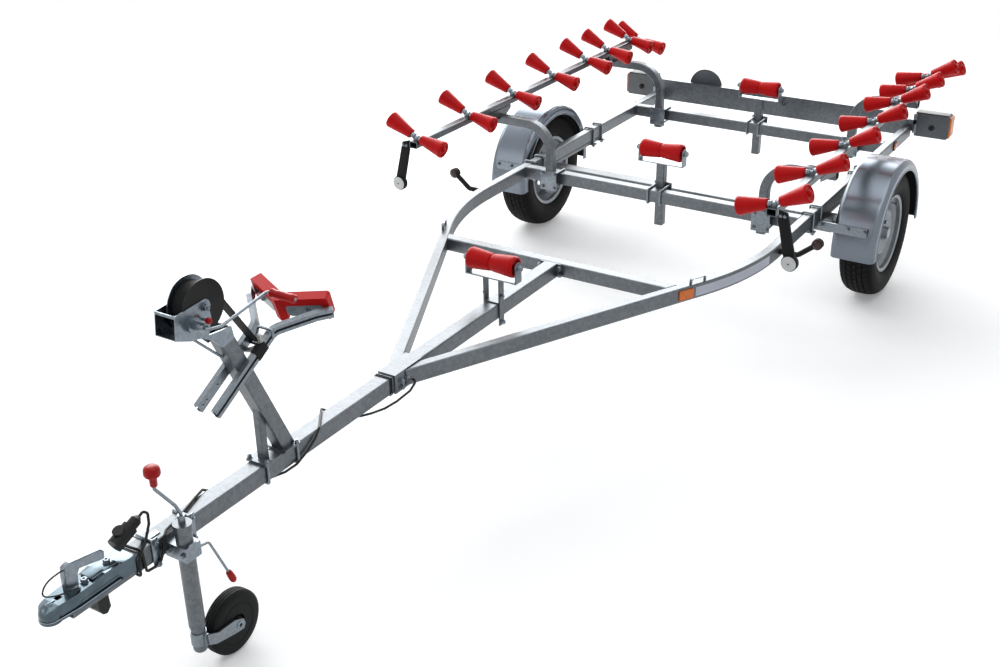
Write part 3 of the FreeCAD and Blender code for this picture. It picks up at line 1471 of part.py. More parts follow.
def main():
    os.makedirs(parts_folder, exist_ok=True)
    rail = make_rail()
    tyre = make_tyre()
    rim = make_rim()
    fender = make_fender()
    cones = make_cones()
    pieces = {
        "drawbar": make_drawbar(), "drawbar_sleeve": make_sleeve(),
        "side_rail_left": rail, "side_rail_right": mirrored(rail),
        "cross_beams": make_cross_beams(), "rail_caps": make_rail_caps(),
        "tie_loops": make_tie_loops(), "side_reflectors": make_reflectors(),
        "axle": make_axle(), "swing_arms": make_swing_arms(),
        "tyre_left": tyre, "tyre_right": mirrored(tyre),
        "wheel_left": rim, "wheel_right": mirrored(rim),
        "fender_left": fender, "fender_right": mirrored(fender), "fender_stays": make_stays(),
        "rack_beams": make_rack_beams(), "rack_arms": make_rack_arms(), "pair_axles": make_pair_axles(),
        "cone_rollers_left": cones, "cone_rollers_right": mirrored(cones),
        "keel_roller_front": make_keel_roller(0), "keel_roller_middle": make_keel_roller(1),
        "keel_roller_rear": make_keel_roller(2),
        "keel_forks": make_keel_forks(), "keel_posts": make_keel_posts(),
        "lamp_board": make_board(), "tail_lamps": make_tail_lamps(), "tail_lenses": make_lenses(),
        "speed_disc": make_disc(), "side_markers": make_side_markers(), "front_markers": make_front_markers(),
        "winch_post": make_winch_post(), "winch_frame": make_winch_frame(), "winch_drum": make_winch_drum(),
        "gear_guard": make_gear_guard(), "strap_coil": make_strap_coil(),
        "winch_crank": make_winch_crank(), "crank_grip": make_crank_grip(),
        "winch_strap": make_strap(), "strap_hook": make_strap_hook(),
        "bow_stop_arms": make_bow_arms(), "arm_band": make_arm_band(),
        "bow_stop_pads": make_bow_pads(), "pad_brackets": make_pad_brackets(),
        "coupling_head": make_coupling(), "coupling_lever": make_lever(), "support_skid": make_skid(),
        "safety_cable": make_safety_cable(),
        "jockey_clamp": make_jockey_clamp(), "jockey_tube": make_jockey_tube(), "jockey_crank": make_jockey_crank(),
        "red_knobs": make_knobs(), "jockey_leg": make_jockey_leg(), "jockey_fork": make_jockey_fork(),
        "jockey_wheel": make_jockey_wheel(),
        "lighting_plug": make_plug(), "plug_holder": make_plug_holder(), "light_cable": make_cable()}
    for name, shape in pieces.items():
        export(name, shape)


main()
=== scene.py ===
import math

import bmesh
import bpy
from mathutils import Matrix, Vector


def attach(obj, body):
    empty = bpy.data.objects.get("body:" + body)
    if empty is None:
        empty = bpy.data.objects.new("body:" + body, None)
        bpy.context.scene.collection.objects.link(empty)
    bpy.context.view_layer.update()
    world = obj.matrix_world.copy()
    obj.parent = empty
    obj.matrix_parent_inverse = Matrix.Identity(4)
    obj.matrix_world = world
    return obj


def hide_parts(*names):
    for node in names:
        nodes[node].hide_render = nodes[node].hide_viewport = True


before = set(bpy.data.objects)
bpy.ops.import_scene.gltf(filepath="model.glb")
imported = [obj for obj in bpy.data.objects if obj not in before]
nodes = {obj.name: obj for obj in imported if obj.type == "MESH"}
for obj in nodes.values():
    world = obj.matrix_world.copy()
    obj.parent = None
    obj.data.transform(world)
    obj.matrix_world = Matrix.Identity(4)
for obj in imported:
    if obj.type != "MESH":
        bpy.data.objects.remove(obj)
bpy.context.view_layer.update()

# Places are given in millimetres as in the drawing: x to the left side, y from the axle line to the tail,
# rise from the frame's top face. at() turns them into metres in the shared frame.
FRAME_TOP = 474.0
SHIFT_Y = 1429.082
MM = 0.001
X_WAY, Y_WAY, Z_WAY = (1, 0, 0), (0, 1, 0), (0, 0, 1)
SIDES = ((1, "left"), (-1, "right"))


def at(x, y, rise):
    return Vector((x * MM, (y + SHIFT_Y) * MM, (rise + FRAME_TOP) * MM))


# The same sizes and places as the drawing
DRAWBAR_SIDE = 60.0
RAIL_WIDTH, RAIL_OUTER_X = 40.0, 716.0
RAIL_LEAN, RAIL_BEND, RAIL_MEET_Y = math.radians(25.9), 1080.0, -1058.0
BEAM_DEPTH, BEAM_HEIGHT = 50.0, 56.0
BEAM_FRONTS = (-1414, -482, 683)
POST_FOOT_Y = -3035.964
STRUT_Y = -3125.964
JOCKEY_X, JOCKEY_Y, JOCKEY_WHEEL_Y = 80, -3539.964, -3411.964
COUPLING_Y = -3944.964
BALL_Y = -3934.964
CUP_REAR_Y = -3672.964
REEL_Y, REEL_RISE = -3317.964, 587.5
CRANK_Y, CRANK_RISE = -3373.594, 560.127
WHEEL_X = 878.0
WHEEL_RISE = 289.0 - FRAME_TOP


# Camera
def aim_camera():
    """Looks down at the trailer's nose from its left, with the photograph's lens and frame."""
    azimuth, elevation, roll = (math.radians(v) for v in (33.088, 26.520, -1.242))
    right = Vector((math.cos(azimuth), math.sin(azimuth), 0))
    level = Vector((math.sin(azimuth), -math.cos(azimuth), 0))
    back = level * math.cos(elevation) + Vector((0, 0, math.sin(elevation)))
    up = back.cross(right)
    side = right * math.cos(roll) + up * math.sin(roll)
    top = up * math.cos(roll) - right * math.sin(roll)
    data = bpy.data.cameras.new("photo_camera")
    data.sensor_fit = "HORIZONTAL"
    data.sensor_width = 36.0
    data.lens = 46.465
    data.shift_x = 0.0135
    data.shift_y = 0.0025
    data.clip_end = 60.0
    camera = bpy.data.objects.new("photo_camera", data)
    turn = Matrix((side, top, back)).transposed().to_4x4()
    camera.matrix_world = Matrix.Translation(at(2356, -5511, 2032)) @ turn
    bpy.context.collection.objects.link(camera)
    bpy.context.scene.camera = camera


aim_camera()


# Meshes
# Faces that meet at less than these degrees are shaded as one
PLAIN_EDGE, ROUND_EDGE, TREAD_EDGE, TOOTH_EDGE, NUT_EDGE = 34, 40, 28, 30, 25


def link(name, data):
    """The data as an object of the same name."""
    data.name = name
    piece = bpy.data.objects.new(name, data)
    bpy.context.collection.objects.link(piece)
    return piece


def soften(mesh, angle=PLAIN_EDGE):
    """Smooth shading, with the edges past the angle kept sharp."""
    form = bmesh.new()
    form.from_mesh(mesh)
    for face in form.faces:
        face.smooth = True
    for edge in form.edges:
        edge.smooth = len(edge.link_faces) == 2 and edge.calc_face_angle(0) < math.radians(angle)
    form.to_mesh(mesh)
    form.free()


def mesh_of(points, faces, angle=PLAIN_EDGE):
    """Mesh without doubled points, its faces turned outward."""
    mesh = bpy.data.meshes.new("form")
    mesh.from_pydata([tuple(p) for p in points], [], faces)
    form = bmesh.new()
    form.from_mesh(mesh)
    bmesh.ops.remove_doubles(form, verts=form.verts, dist=1e-6)
    bmesh.ops.dissolve_degenerate(form, edges=form.edges, dist=1e-7)
    bmesh.ops.recalc_face_normals(form, faces=form.faces)
    form.to_mesh(mesh)
    form.free()
    soften(mesh, angle)
    return mesh


def finish_piece(piece, material, body, replaced=()):
    """Finish and body of a piece, with the parts it replaces hidden; one grown by a tree has its material
    already.
    """
    if material:
        piece.data.materials.clear()
        piece.data.materials.append(material)
    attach(piece, body)
    if replaced:
        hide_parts(*replaced)


def lofted(rings, angle=PLAIN_EDGE, caps=True, wrap=False):
    """Skin from each ring of points to the next, with end faces, or round to the first ring again."""
    count, last = len(rings[0]), len(rings) - 1
    faces = []
    for i in range(len(rings) if wrap else last):
        here, there = i * count, (i + 1) % len(rings) * count
        for k in range(count):
            m = (k + 1) % count
            faces.append((here + k, here + m, there + m, there + k))
    if caps:
        faces += [tuple(range(count)), tuple(range(last * count, (last + 1) * count))]
    return mesh_of([p for ring in rings for p in ring], faces, angle)


def turned(profile, centre, axis, segments):
    """Turned form; the profile is (along, radius) in millimetres. One that starts on the axis runs from pole
    to pole, and another is a ring's section."""
    axis = Vector(axis).normalized()
    side = axis.orthogonal().normalized()
    spokes = []
    for k in range(segments):
        a = 2 * math.pi * k / segments
        spokes.append(side * math.cos(a) + axis.cross(side) * math.sin(a))
    rings = [[centre + (axis * along + spoke * radius) * MM for spoke in spokes] for along, radius in profile]
    return lofted(rings, caps=False, wrap=profile[0][1] > 0)


def joined(meshes):
    """One mesh from several; the parts stay apart."""
    form = bmesh.new()
    for mesh in meshes:
        form.from_mesh(mesh)
    whole = bpy.data.meshes.new("forms")
    form.to_mesh(whole)
    form.free()
    for mesh in meshes:
        bpy.data.meshes.remove(mesh)
    return whole


def prism(outline, direction):
    """Flat outline of points carried along a direction."""
    return lofted([outline, [p + direction for p in outline]])


def rounded(mesh, form, round_mm, steps, clamp=True):
    """The mesh filled from the form, with all its edges rounded."""
    bmesh.ops.bevel(form, geom=form.edges[:], offset=round_mm * MM, segments=steps, profile=0.5,
                    affect="EDGES", clamp_overlap=clamp)
    form.to_mesh(mesh)
    form.free()
    soften(mesh, ROUND_EDGE)
    return mesh


def rounded_prism(outline, direction, round_mm):
    mesh = prism(outline, direction)
    form = bmesh.new()
    form.from_mesh(mesh)
    return rounded(mesh, form, round_mm, 3)


def recessed_prism(outline, direction, rim_mm, depth_mm, round_mm):
    """Pressed form: its two flat faces sunk inside a standing rim, with rounded edges."""
    mesh = prism(outline, direction)
    form = bmesh.new()
    form.from_mesh(mesh)
    flats = [face for face in form.faces if len(face.verts) == len(outline)]
    bmesh.ops.inset_individual(form, faces=flats, thickness=rim_mm * MM, depth=-depth_mm * MM,
                               use_even_offset=True)
    return rounded(mesh, form, round_mm, 2)


def block(corner, other, round_mm, steps=3):
    """Box between two corners, with its edges rounded."""
    form = bmesh.new()
    bmesh.ops.create_cube(form, size=1.0)
    low, high = Vector(map(min, corner, other)), Vector(map(max, corner, other))
    size = high - low
    for v in form.verts:
        v.co = Vector((low[i] + (v.co[i] + 0.5) * size[i] for i in range(3)))
    return rounded(bpy.data.meshes.new("block"), form, round_mm, steps, False)


# Node trees
def add(tree, kind, settings=None, **inputs):
    """A node with its settings; an input, by name or as in0, in1..., is a value, a socket or a node."""
    node = tree.nodes.new(kind)
    for key, value in (settings or {}).items():
        setattr(node, key, value)
    for key, value in inputs.items():
        numbered = key[:2] == "in" and key[2:].isdigit()
        socket = node.inputs[int(key[2:]) if numbered else key.replace("_", " ")]
        if isinstance(value, bpy.types.Node):
            value = value.outputs[0]
        if isinstance(value, bpy.types.NodeSocket):
            tree.links.new(value, socket)
        else:
            socket.default_value = value
    return node


def new_tree(name, sizes):
    """Geometry tree with a Geometry input, the named sizes, and a Geometry output."""
    tree = bpy.data.node_groups.new(name, "GeometryNodeTree")
    tree.interface.new_socket("Geometry", in_out="INPUT", socket_type="NodeSocketGeometry")
    for label, kind in sizes:
        tree.interface.new_socket(label, in_out="INPUT", socket_type="NodeSocket" + kind)
    tree.interface.new_socket("Geometry", in_out="OUTPUT", socket_type="NodeSocketGeometry")
    return tree, tree.nodes.new("NodeGroupInput")


def end_tree(tree, geometry, material):
    real = add(tree, "GeometryNodeRealizeInstances", in0=geometry)
    done = add(tree, "GeometryNodeSetMaterial", in0=real, Material=material)
    out = tree.nodes.new("NodeGroupOutput")
    tree.links.new(done.outputs[0], out.inputs[0])


def wire_tree():
    """Round bar along a route of straight runs, bent at the corners."""
    sizes = [("Radius", "Float"), ("Bend", "Float"), ("Sides", "Int"), ("Material", "Material")]
    tree, given = new_tree("bent_bar", sizes)
    curve = add(tree, "GeometryNodeMeshToCurve", in0=given.outputs["Geometry"])
    bent = add(tree, "GeometryNodeFilletCurve", {"mode": "POLY"}, Curve=curve, Count=7,
               Radius=given.outputs["Bend"], Limit_Radius=True)
    ring = add(tree, "GeometryNodeCurvePrimitiveCircle", Resolution=given.outputs["Sides"],
               Radius=given.outputs["Radius"])
    bar = add(tree, "GeometryNodeCurveToMesh", Curve=bent, Profile_Curve=ring, Fill_Caps=True)
    end_tree(tree, bar, given.outputs["Material"])
    return tree


def fastener_tree():
    """Washer, hexagon with a turned chamfer and a thread end on every point, along its facing."""
    tree, given = new_tree("hexagon_fastener", [("Thread out", "Float"), ("Material", "Material")])
    thread = given.outputs["Thread out"]
    parts = []
    # Washer, hexagon, its chamfer and the thread: sides, lower and upper radius, depth and height of the foot
    for sides, low, high, depth, foot in ((28, 1.22, 1.22, 0.2, 0.0), (6, 1.0, 1.0, 0.8, 0.2),
                                          (24, 0.9, 0.74, 0.1, 1.0), (16, 0.52, 0.44, thread, 1.0)):
        form = add(tree, "GeometryNodeMeshCone", Vertices=sides, Radius_Bottom=low, Radius_Top=high,
                   Depth=depth)
        lifted = add(tree, "GeometryNodeTransform", in0=form, Translation=(0, 0, foot))
        parts.append(lifted.outputs[0])
    whole = tree.nodes.new("GeometryNodeJoinGeometry")
    for part in reversed(parts):
        tree.links.new(part, whole.inputs[0])
    facing = add(tree, "GeometryNodeInputNamedAttribute", {"data_type": "FLOAT_VECTOR"}, Name="facing")
    size = add(tree, "GeometryNodeInputNamedAttribute", {"data_type": "FLOAT"}, Name="size")
    turn = add(tree, "FunctionNodeAlignRotationToVector", {"axis": "Z"}, Vector=facing)
    set_out = add(tree, "GeometryNodeInstanceOnPoints", Points=given.outputs["Geometry"], Instance=whole,
                  Rotation=turn, Scale=size)
    end_tree(tree, set_out, given.outputs["Material"])
    return tree


def ring_tree():
    """The given form, set round an axis along X through the centre."""
    sizes = [("Count", "Int"), ("First turn", "Float"), ("Centre", "Vector"), ("Material", "Material")]
    tree, given = new_tree("set_round_axle", sizes)
    spots = add(tree, "GeometryNodeMeshLine", Count=given.outputs["Count"], Offset=(0, 0, 0))
    index = tree.nodes.new("GeometryNodeInputIndex")
    share = add(tree, "ShaderNodeMath", {"operation": "DIVIDE"}, in0=index, in1=given.outputs["Count"])
    turn = add(tree, "ShaderNodeMath", {"operation": "MULTIPLY_ADD"}, in0=share, in1=2 * math.pi,
               in2=given.outputs["First turn"])
    angles = add(tree, "ShaderNodeCombineXYZ", X=turn)
    set_out = add(tree, "GeometryNodeInstanceOnPoints", Points=spots, Instance=given.outputs["Geometry"],
                  Rotation=angles)
    real = add(tree, "GeometryNodeRealizeInstances", in0=set_out)
    moved = add(tree, "GeometryNodeTransform", in0=real, Translation=given.outputs["Centre"])
    end_tree(tree, moved, given.outputs["Material"])
    return tree


def grown(mesh, tree, values, angle=PLAIN_EDGE):
    """Plain mesh that the tree makes of the given one."""
    host = link("seed", mesh)
    grower = host.modifiers.new("grow", "NODES")
    grower.node_group = tree
    for item in tree.interface.items_tree:
        if item.in_out == "INPUT" and item.name in values:
            grower[item.identifier] = values[item.name]
    depsgraph = bpy.context.evaluated_depsgraph_get()
    result = bpy.data.meshes.new_from_object(host.evaluated_get(depsgraph))
    host.modifiers.remove(grower)
    bpy.data.objects.remove(host)
    soften(result, angle)
    return result


BENT_BAR = wire_tree()
HEX_FASTENER = fastener_tree()
SET_ROUND = ring_tree()


# Finishes
def linear(code):
    """sRGB hex to the linear colour that a shader takes."""
    values = [int(code[i:i + 2], 16) / 255 for i in (1, 3, 5)]
    return tuple(v / 12.92 if v <= 0.04045 else ((v + 0.055) / 1.055) ** 2.4 for v in values) + (1.0,)


def start_material(name):
    material = bpy.data.materials.new(name)
    material.use_nodes = True
    tree = material.node_tree
    tree.nodes.clear()
    shader = add(tree, "ShaderNodeBsdfPrincipled")
    out = add(tree, "ShaderNodeOutputMaterial", Surface=shader)
    return material, tree, shader


def ramp(tree, value, stops):
    """Colour ramp over a value; stops are (place, hex)."""
    node = add(tree, "ShaderNodeValToRGB", Fac=value)
    elements = node.color_ramp.elements
    while len(elements) < len(stops):
        elements.new(0.5)
    for element, (place, code) in zip(elements, stops):
        element.position = place
        element.color = linear(code)
    return node.outputs[0]


def spread(tree, value, low, high):
    return add(tree, "ShaderNodeMapRange", Value=value, To_Min=low, To_Max=high).outputs[0]


def object_place(tree):
    return tree.nodes.new("ShaderNodeTexCoord").outputs["Object"]


def tint_and_gloss(tree, shader, value, stops, rough):
    """One value drives both the colour and the roughness."""
    tree.links.new(ramp(tree, value, stops), shader.inputs["Base Color"])
    tree.links.new(spread(tree, value, rough[0], rough[1]), shader.inputs["Roughness"])


def grain(tree, shader, where, scale, detail, strength, distance):
    """Fine relief of the surface."""
    noise = add(tree, "ShaderNodeTexNoise", Vector=where, Scale=scale, Detail=detail)
    bump = add(tree, "ShaderNodeBump", Strength=strength, Distance=distance, Height=noise.outputs["Fac"])
    tree.links.new(bump.outputs[0], shader.inputs["Normal"])


def dipped_zinc(name, dark, light, rough, spangle_mm):
    """Hot-dip galvanised steel: crystals of zinc, each of its own grey and gloss, under a cloud of oxide."""
    material, tree, shader = start_material(name)
    where = object_place(tree)
    bent = add(tree, "ShaderNodeTexNoise", Vector=where, Scale=1000 / (spangle_mm * 2), Detail=2.0)
    warped = add(tree, "ShaderNodeMix", {"data_type": "VECTOR"}, in0=0.012, in4=where,
                 in5=bent.outputs["Color"])
    crystals = add(tree, "ShaderNodeTexVoronoi", Vector=warped.outputs[1], Scale=1000 / spangle_mm)
    grey = add(tree, "ShaderNodeSeparateColor", in0=crystals.outputs["Color"])
    cloud = add(tree, "ShaderNodeTexNoise", Vector=where, Scale=9.0, Detail=4.0, Roughness=0.6)
    both = add(tree, "ShaderNodeMix", {"data_type": "FLOAT"}, in0=0.45, in2=cloud.outputs["Fac"], in3=grey)
    tint_and_gloss(tree, shader, both.outputs[0], [(0.25, dark), (0.75, light)], rough)
    grain(tree, shader, where, scale=260.0, detail=3.0, strength=0.12, distance=0.0006)
    shader.inputs["Metallic"].default_value = 0.9
    return material


def plain_metal(name, dark, light, rough, metallic=1.0, scale=60.0, relief=0.06):
    """Plated, painted or rolled metal whose gloss and tint drift a little over its length."""
    material, tree, shader = start_material(name)
    where = object_place(tree)
    drift = add(tree, "ShaderNodeTexNoise", Vector=where, Scale=scale, Detail=5.0, Roughness=0.6)
    tint_and_gloss(tree, shader, drift.outputs["Fac"], [(0.3, dark), (0.7, light)], rough)
    grain(tree, shader, where, scale=scale * 9, detail=2.0, strength=relief, distance=0.0004)
    shader.inputs["Metallic"].default_value = metallic
    return material


def moulded(name, dark, light, rough, grain_mm, relief, drift=14.0, coat=0.0, ior=1.5, sheen=0.3):
    """Moulded plastic or rubber: one colour with a slight drift, and the mould's fine grain."""
    material, tree, shader = start_material(name)
    where = object_place(tree)
    cloud = add(tree, "ShaderNodeTexNoise", Vector=where, Scale=drift, Detail=4.0, Roughness=0.55)
    tint_and_gloss(tree, shader, cloud.outputs["Fac"], [(0.3, dark), (0.7, light)], rough)
    grain(tree, shader, where, scale=1000 / grain_mm, detail=2.0, strength=relief, distance=0.0005)
    shader.inputs["Coat Weight"].default_value = coat
    shader.inputs["IOR"].default_value = ior
    shader.inputs["Specular IOR Level"].default_value = sheen
    return material


# Hot-dip galvanised tube: dull, mottled grey.
zinc_tube = dipped_zinc("galvanised_steel_tube", "#5E6367", "#6E7276", (0.32, 0.42), spangle_mm=11.0)
# Galvanised pressings and bent bar: the same zinc in smaller crystals, a little brighter.
zinc_pressing = dipped_zinc("galvanised_steel_pressing", "#737B82", "#868D93", (0.28, 0.38), spangle_mm=7.0)
# Rolled and zinc-coated sheet of the fenders: smooth, blue-grey, with a slow drift over the arch.
fender_sheet = plain_metal("coated_fender_sheet", "#69717A", "#737A83", (0.24, 0.28), 0.95, 2.5, relief=0.01)
# Bright zinc plating on bolts and small hardware: cleaner, bluish and glossier than dipped zinc.
bright_zinc = plain_metal("zinc_plated_steel", "#737B82", "#8A929A", (0.24, 0.32), relief=0.02)
# Pressed and plated coupling shell: blue-grey, with slightly wavy gloss from the press.
pressed_steel = plain_metal("pressed_plated_steel", "#4D585F", "#5D6A72", (0.18, 0.24), 1.0, 22.0,
                            relief=0.015)
# Forged and barrel-galvanised hook: pale, matt grey.
forged_zinc = plain_metal("forged_galvanised_hook", "#9A9E9A", "#B0B4AF", (0.42, 0.52), 0.5)
# Wheel enamel with fine aluminium flake: satin silver grey.
wheel_enamel = plain_metal("silver_wheel_enamel", "#80858A", "#8E9398", (0.36, 0.44), 0.55, 30.0)
# Black enamel of the winch's round gear guard: smooth, with a soft shine.
black_enamel = moulded("black_stove_enamel", "#070708", "#0D0D0E", (0.26, 0.36), 3.0, 0.04, sheen=0.2)
# Polyurethane rollers: strong red, waxy shine, faint flow marks.
roller_red = moulded("cast_polyurethane_red", "#B2080B", "#C40B0F", (0.36, 0.46), 2.4, 0.05, 9.0, sheen=0.14)
# Bow pads of the same red, moulded a little duller.
pad_red = moulded("moulded_rubber_red", "#B8090C", "#CA0D10", (0.4, 0.52), 1.6, 0.08, 10.0, sheen=0.14)
# Red knobs and grips: hard, glossy moulded plastic.
knob_red = moulded("glossy_red_plastic", "#A00709", "#B20A0D", (0.24, 0.34), 3.0, 0.03, 18.0, sheen=0.2)
# Tyre rubber: near black, matt, with dust in its grain.
tyre_rubber = moulded("vulcanised_tyre_rubber", "#090909", "#111111", (0.62, 0.82), 1.2, 0.25, 30.0, ior=1.45,
                      sheen=0.2)
# Solid rubber of the jockey wheel and the sleeve on the bow arm: charcoal, matt.
solid_rubber = moulded("solid_rubber", "#0E0F10", "#161718", (0.55, 0.72), 1.4, 0.15, 24.0, ior=1.45,
                       sheen=0.2)
# Black, matt and coarse sheet inside the fenders: painted shade, standing in for the shade under the arches.
painted_shade_sheet = moulded("black_painted_shade", "#0B0C0C", "#121313", (0.7, 0.85), 3.0, 0.3, 12.0, ior=1.4)
# Woven polyester of the winch strap's coil: black, matt, with the weave's relief.
woven_strap = moulded("woven_polyester_strap", "#08090A", "#111213", (0.6, 0.75), 1.1, 0.35, 40.0,
                      ior=1.45, sheen=0.2)
# Black plastic of caps, plug and skid: moulded, satin.
black_plastic = moulded("moulded_black_plastic", "#0A0B0C", "#131415", (0.36, 0.5), 1.2, 0.1, 20.0,
                        sheen=0.25)
# Dark grey ABS of the lamp housings and the round plate: satin.
lamp_plastic = moulded("moulded_grey_abs", "#4A4F54", "#5A6065", (0.3, 0.4), 1.3, 0.06, coat=0.1, sheen=0.5)
# PVC sheath of the lighting cable: black, faintly shiny.
cable_sheath = moulded("extruded_pvc_sheath", "#0D0E0F", "#161718", (0.35, 0.48), 2.0, 0.05, 60.0)
# White acrylic marker face: clean and glossy.
marker_white = moulded("white_acrylic", "#C9CCCB", "#DADCDB", (0.2, 0.3), 3.0, 0.02, coat=0.2)
# Amber and red acrylic: glossy, with the moulded prisms' relief.
amber_acrylic = moulded("amber_acrylic", "#D9610A", "#EA7C12", (0.15, 0.25), 2.6, 0.3, 30.0, coat=0.3)
red_acrylic = moulded("red_acrylic", "#8E0F0C", "#A31512", (0.12, 0.22), 2.6, 0.25, 30.0, coat=0.3)
# Smoked acrylic of the round side lamps: dark, with a red tint.
smoked_lens = moulded("smoked_red_acrylic", "#2A1312", "#3A1A17", (0.12, 0.2), 2.6, 0.15, 30.0, coat=0.3)
# Plain vinyl film on the rails: pale grey-blue, satin.
strip_film = moulded("bare_vinyl_film", "#B9BECB", "#C6CAD6", (0.3, 0.4), 4.0, 0.02)

node_finish = {
    zinc_tube: ("drawbar", "drawbar_sleeve", "side_rail_left", "side_rail_right", "cross_beams", "axle",
                "swing_arms", "rack_beams", "rack_arms", "keel_posts", "lamp_board", "winch_post",
                "jockey_tube", "jockey_leg"),
    zinc_pressing: ("fender_stays", "keel_forks", "bow_stop_arms", "pad_brackets", "jockey_fork",
                    "pair_axles"),
    fender_sheet: ("fender_left", "fender_right"),
    bright_zinc: ("tie_loops", "winch_frame", "winch_drum", "winch_crank", "strap_hook", "coupling_lever",
                  "jockey_clamp", "jockey_crank", "plug_holder"),
    pressed_steel: ("coupling_head",),
    wheel_enamel: ("wheel_left", "wheel_right"),
    black_enamel: ("gear_guard",),
    roller_red: ("cone_rollers_left", "cone_rollers_right", "keel_roller_front", "keel_roller_middle",
                 "keel_roller_rear"),
    pad_red: ("bow_stop_pads",),
    knob_red: ("red_knobs", "crank_grip"),
    tyre_rubber: ("tyre_left", "tyre_right"),
    solid_rubber: ("jockey_wheel", "arm_band", "winch_strap", "strap_coil", "front_markers", "side_markers"),
    black_plastic: ("rail_caps", "support_skid", "lighting_plug"),
    lamp_plastic: ("tail_lamps", "speed_disc"),
    cable_sheath: ("light_cable",),
    amber_acrylic: ("side_reflectors",),
    red_acrylic: ("tail_lenses",),
}
for material, names in node_finish.items():
    for name in names:
        for held in nodes[name].material_slots:
            held.material = material


# Small parts that repeat
def lay_out(name, forms, material, body="trailer", replaced=()):
    """One piece of one form, or of several that lie apart."""
    mesh = joined(forms) if isinstance(forms, list) else forms
    finish_piece(link(name, mesh), material, body, replaced)


def fasteners(name, spots, thread=0.5, body="trailer"):
    """Hexagon nuts or bolt heads; a spot is (place, facing, half width over corners in millimetres)."""
    mesh = bpy.data.meshes.new("spots")
    mesh.from_pydata([tuple(place) for place, facing, size in spots], [], [])
    mesh.attributes.new("facing", "FLOAT_VECTOR", "POINT")
    mesh.attributes.new("size", "FLOAT", "POINT")
    for i, (place, facing, size) in enumerate(spots):
        mesh.attributes["facing"].data[i].vector = tuple(Vector(facing).normalized())
        mesh.attributes["size"].data[i].value = size * MM
    values = {"Thread out": thread, "Material": bright_zinc}
    lay_out(name, grown(mesh, HEX_FASTENER, values, NUT_EDGE), None, body)


def bent_bars(name, routes, radius, bend, material, sides=12):
    """Round bars along routes of corner points."""
    points, edges = [], []
    for route in routes:
        first = len(points)
        points += [tuple(p) for p in route]
        edges += [(first + i, first + i + 1) for i in range(len(route) - 1)]
    mesh = bpy.data.meshes.new("routes")
    mesh.from_pydata(points, edges, [])
    values = {"Radius": radius * MM, "Bend": bend * MM, "Sides": sides, "Material": material}
    lay_out(name, grown(mesh, BENT_BAR, values), None)


def across(line, y, side=1):
    """Points of an (x, rise) line in the plane at y."""
    return [at(x * side, y, rise) for x, rise in line]


def backward(run):
    return Vector((0, run, 0)) * MM


def both(spots):
    """The spots and their mirror images on the right side."""
    return spots + [(Vector((-p.x, p.y, p.z)), (-f[0], f[1], f[2]), size) for p, f, size in spots]


def mirror_profile(half):
    """Whole profile from its half on the +X side."""
    return half + [(-x, radius) for x, radius in reversed(half)]


# Tyres: carcass with grooves round it, and the tread's blocks and shoulder lugs
TYRE_HALF = [(55.7, 165), (55.7, 176.3), (58.5, 177.5), (62, 181.5), (66.5, 188), (68.5, 190), (70, 192.5),
             (74, 203), (77.2, 215), (78.4, 227), (78.2, 238), (77, 247), (76, 247.6), (75.8, 249),
             (76.4, 250), (74.2, 259), (70.5, 266.5), (65, 273), (60.5, 276), (37.6, 281), (13.4, 281)]
LUG_LINE = ((60.2, 278.2), (66, 273.6), (71.6, 266.8), (73.8, 261.6), (72.4, 261.4), (58, 272))
TREAD_RADIUS, TREAD_HALF, CROWN_DROP = 289.0, 59.0, 10.2
BLOCK_FOOT, BLOCK_STEPS = 274.0, 3
PITCHES = 60
BLOCK_TURN, LUG_TURN = 5.45, 2.3
# Each rib of the tread: its two edges, its shift and its skew in degrees
RIBS = ((-58, -37.5, 0, 2.2), (-32.5, -13.5, 2.2, 1.5), (-9, 9, 0.8, 0), (13.5, 32.5, 3.1, -1.5),
        (37.5, 58, 1.4, -2.2))


def crown(x):
    """Radius of the tread over its width."""
    return TREAD_RADIUS - CROWN_DROP * (abs(x) / TREAD_HALF) ** 3.2


def on_tyre(x, radius, degrees):
    """Point about the X axis, in metres."""
    turn = math.radians(degrees)
    return Vector((x, radius * math.cos(turn), radius * math.sin(turn))) * MM


def tread_block(x0, x1, start, skew):
    """One block of the tread, its ends slanted by the skew over its width."""
    rings = []
    for i in range(BLOCK_STEPS + 1):
        share = i / BLOCK_STEPS
        x = x0 + (x1 - x0) * share
        turns = [start + BLOCK_TURN * half + skew * (share - 0.5) for half in (0, 0.5, 1)]
        top = [on_tyre(x, crown(x), turn) for turn in reversed(turns)]
        rings.append([on_tyre(x, BLOCK_FOOT, turn) for turn in turns] + top)
    return lofted(rings, TREAD_EDGE)


def shoulder_lug(way, start):
    ends = (start, start + LUG_TURN)
    return lofted([[on_tyre(x * way, radius, turn) for x, radius in LUG_LINE] for turn in ends], TREAD_EDGE)


def make_tyre(side, body, node):
    centre = at(WHEEL_X * side, 0, WHEEL_RISE)
    carcass = turned(mirror_profile(TYRE_HALF), centre, X_WAY, 120)
    forms = [tread_block(x0, x1, shift, skew) for x0, x1, shift, skew in RIBS]
    forms += [shoulder_lug(way, start) for way in (-1, 1) for start in (0.3, 3.3)]
    values = {"Count": PITCHES, "First turn": 0.0, "Centre": tuple(centre), "Material": tyre_rubber}
    tread = grown(joined(forms), SET_ROUND, values, TREAD_EDGE)
    lay_out(node + "_rubber", [carcass, tread], tyre_rubber, body, (node,))


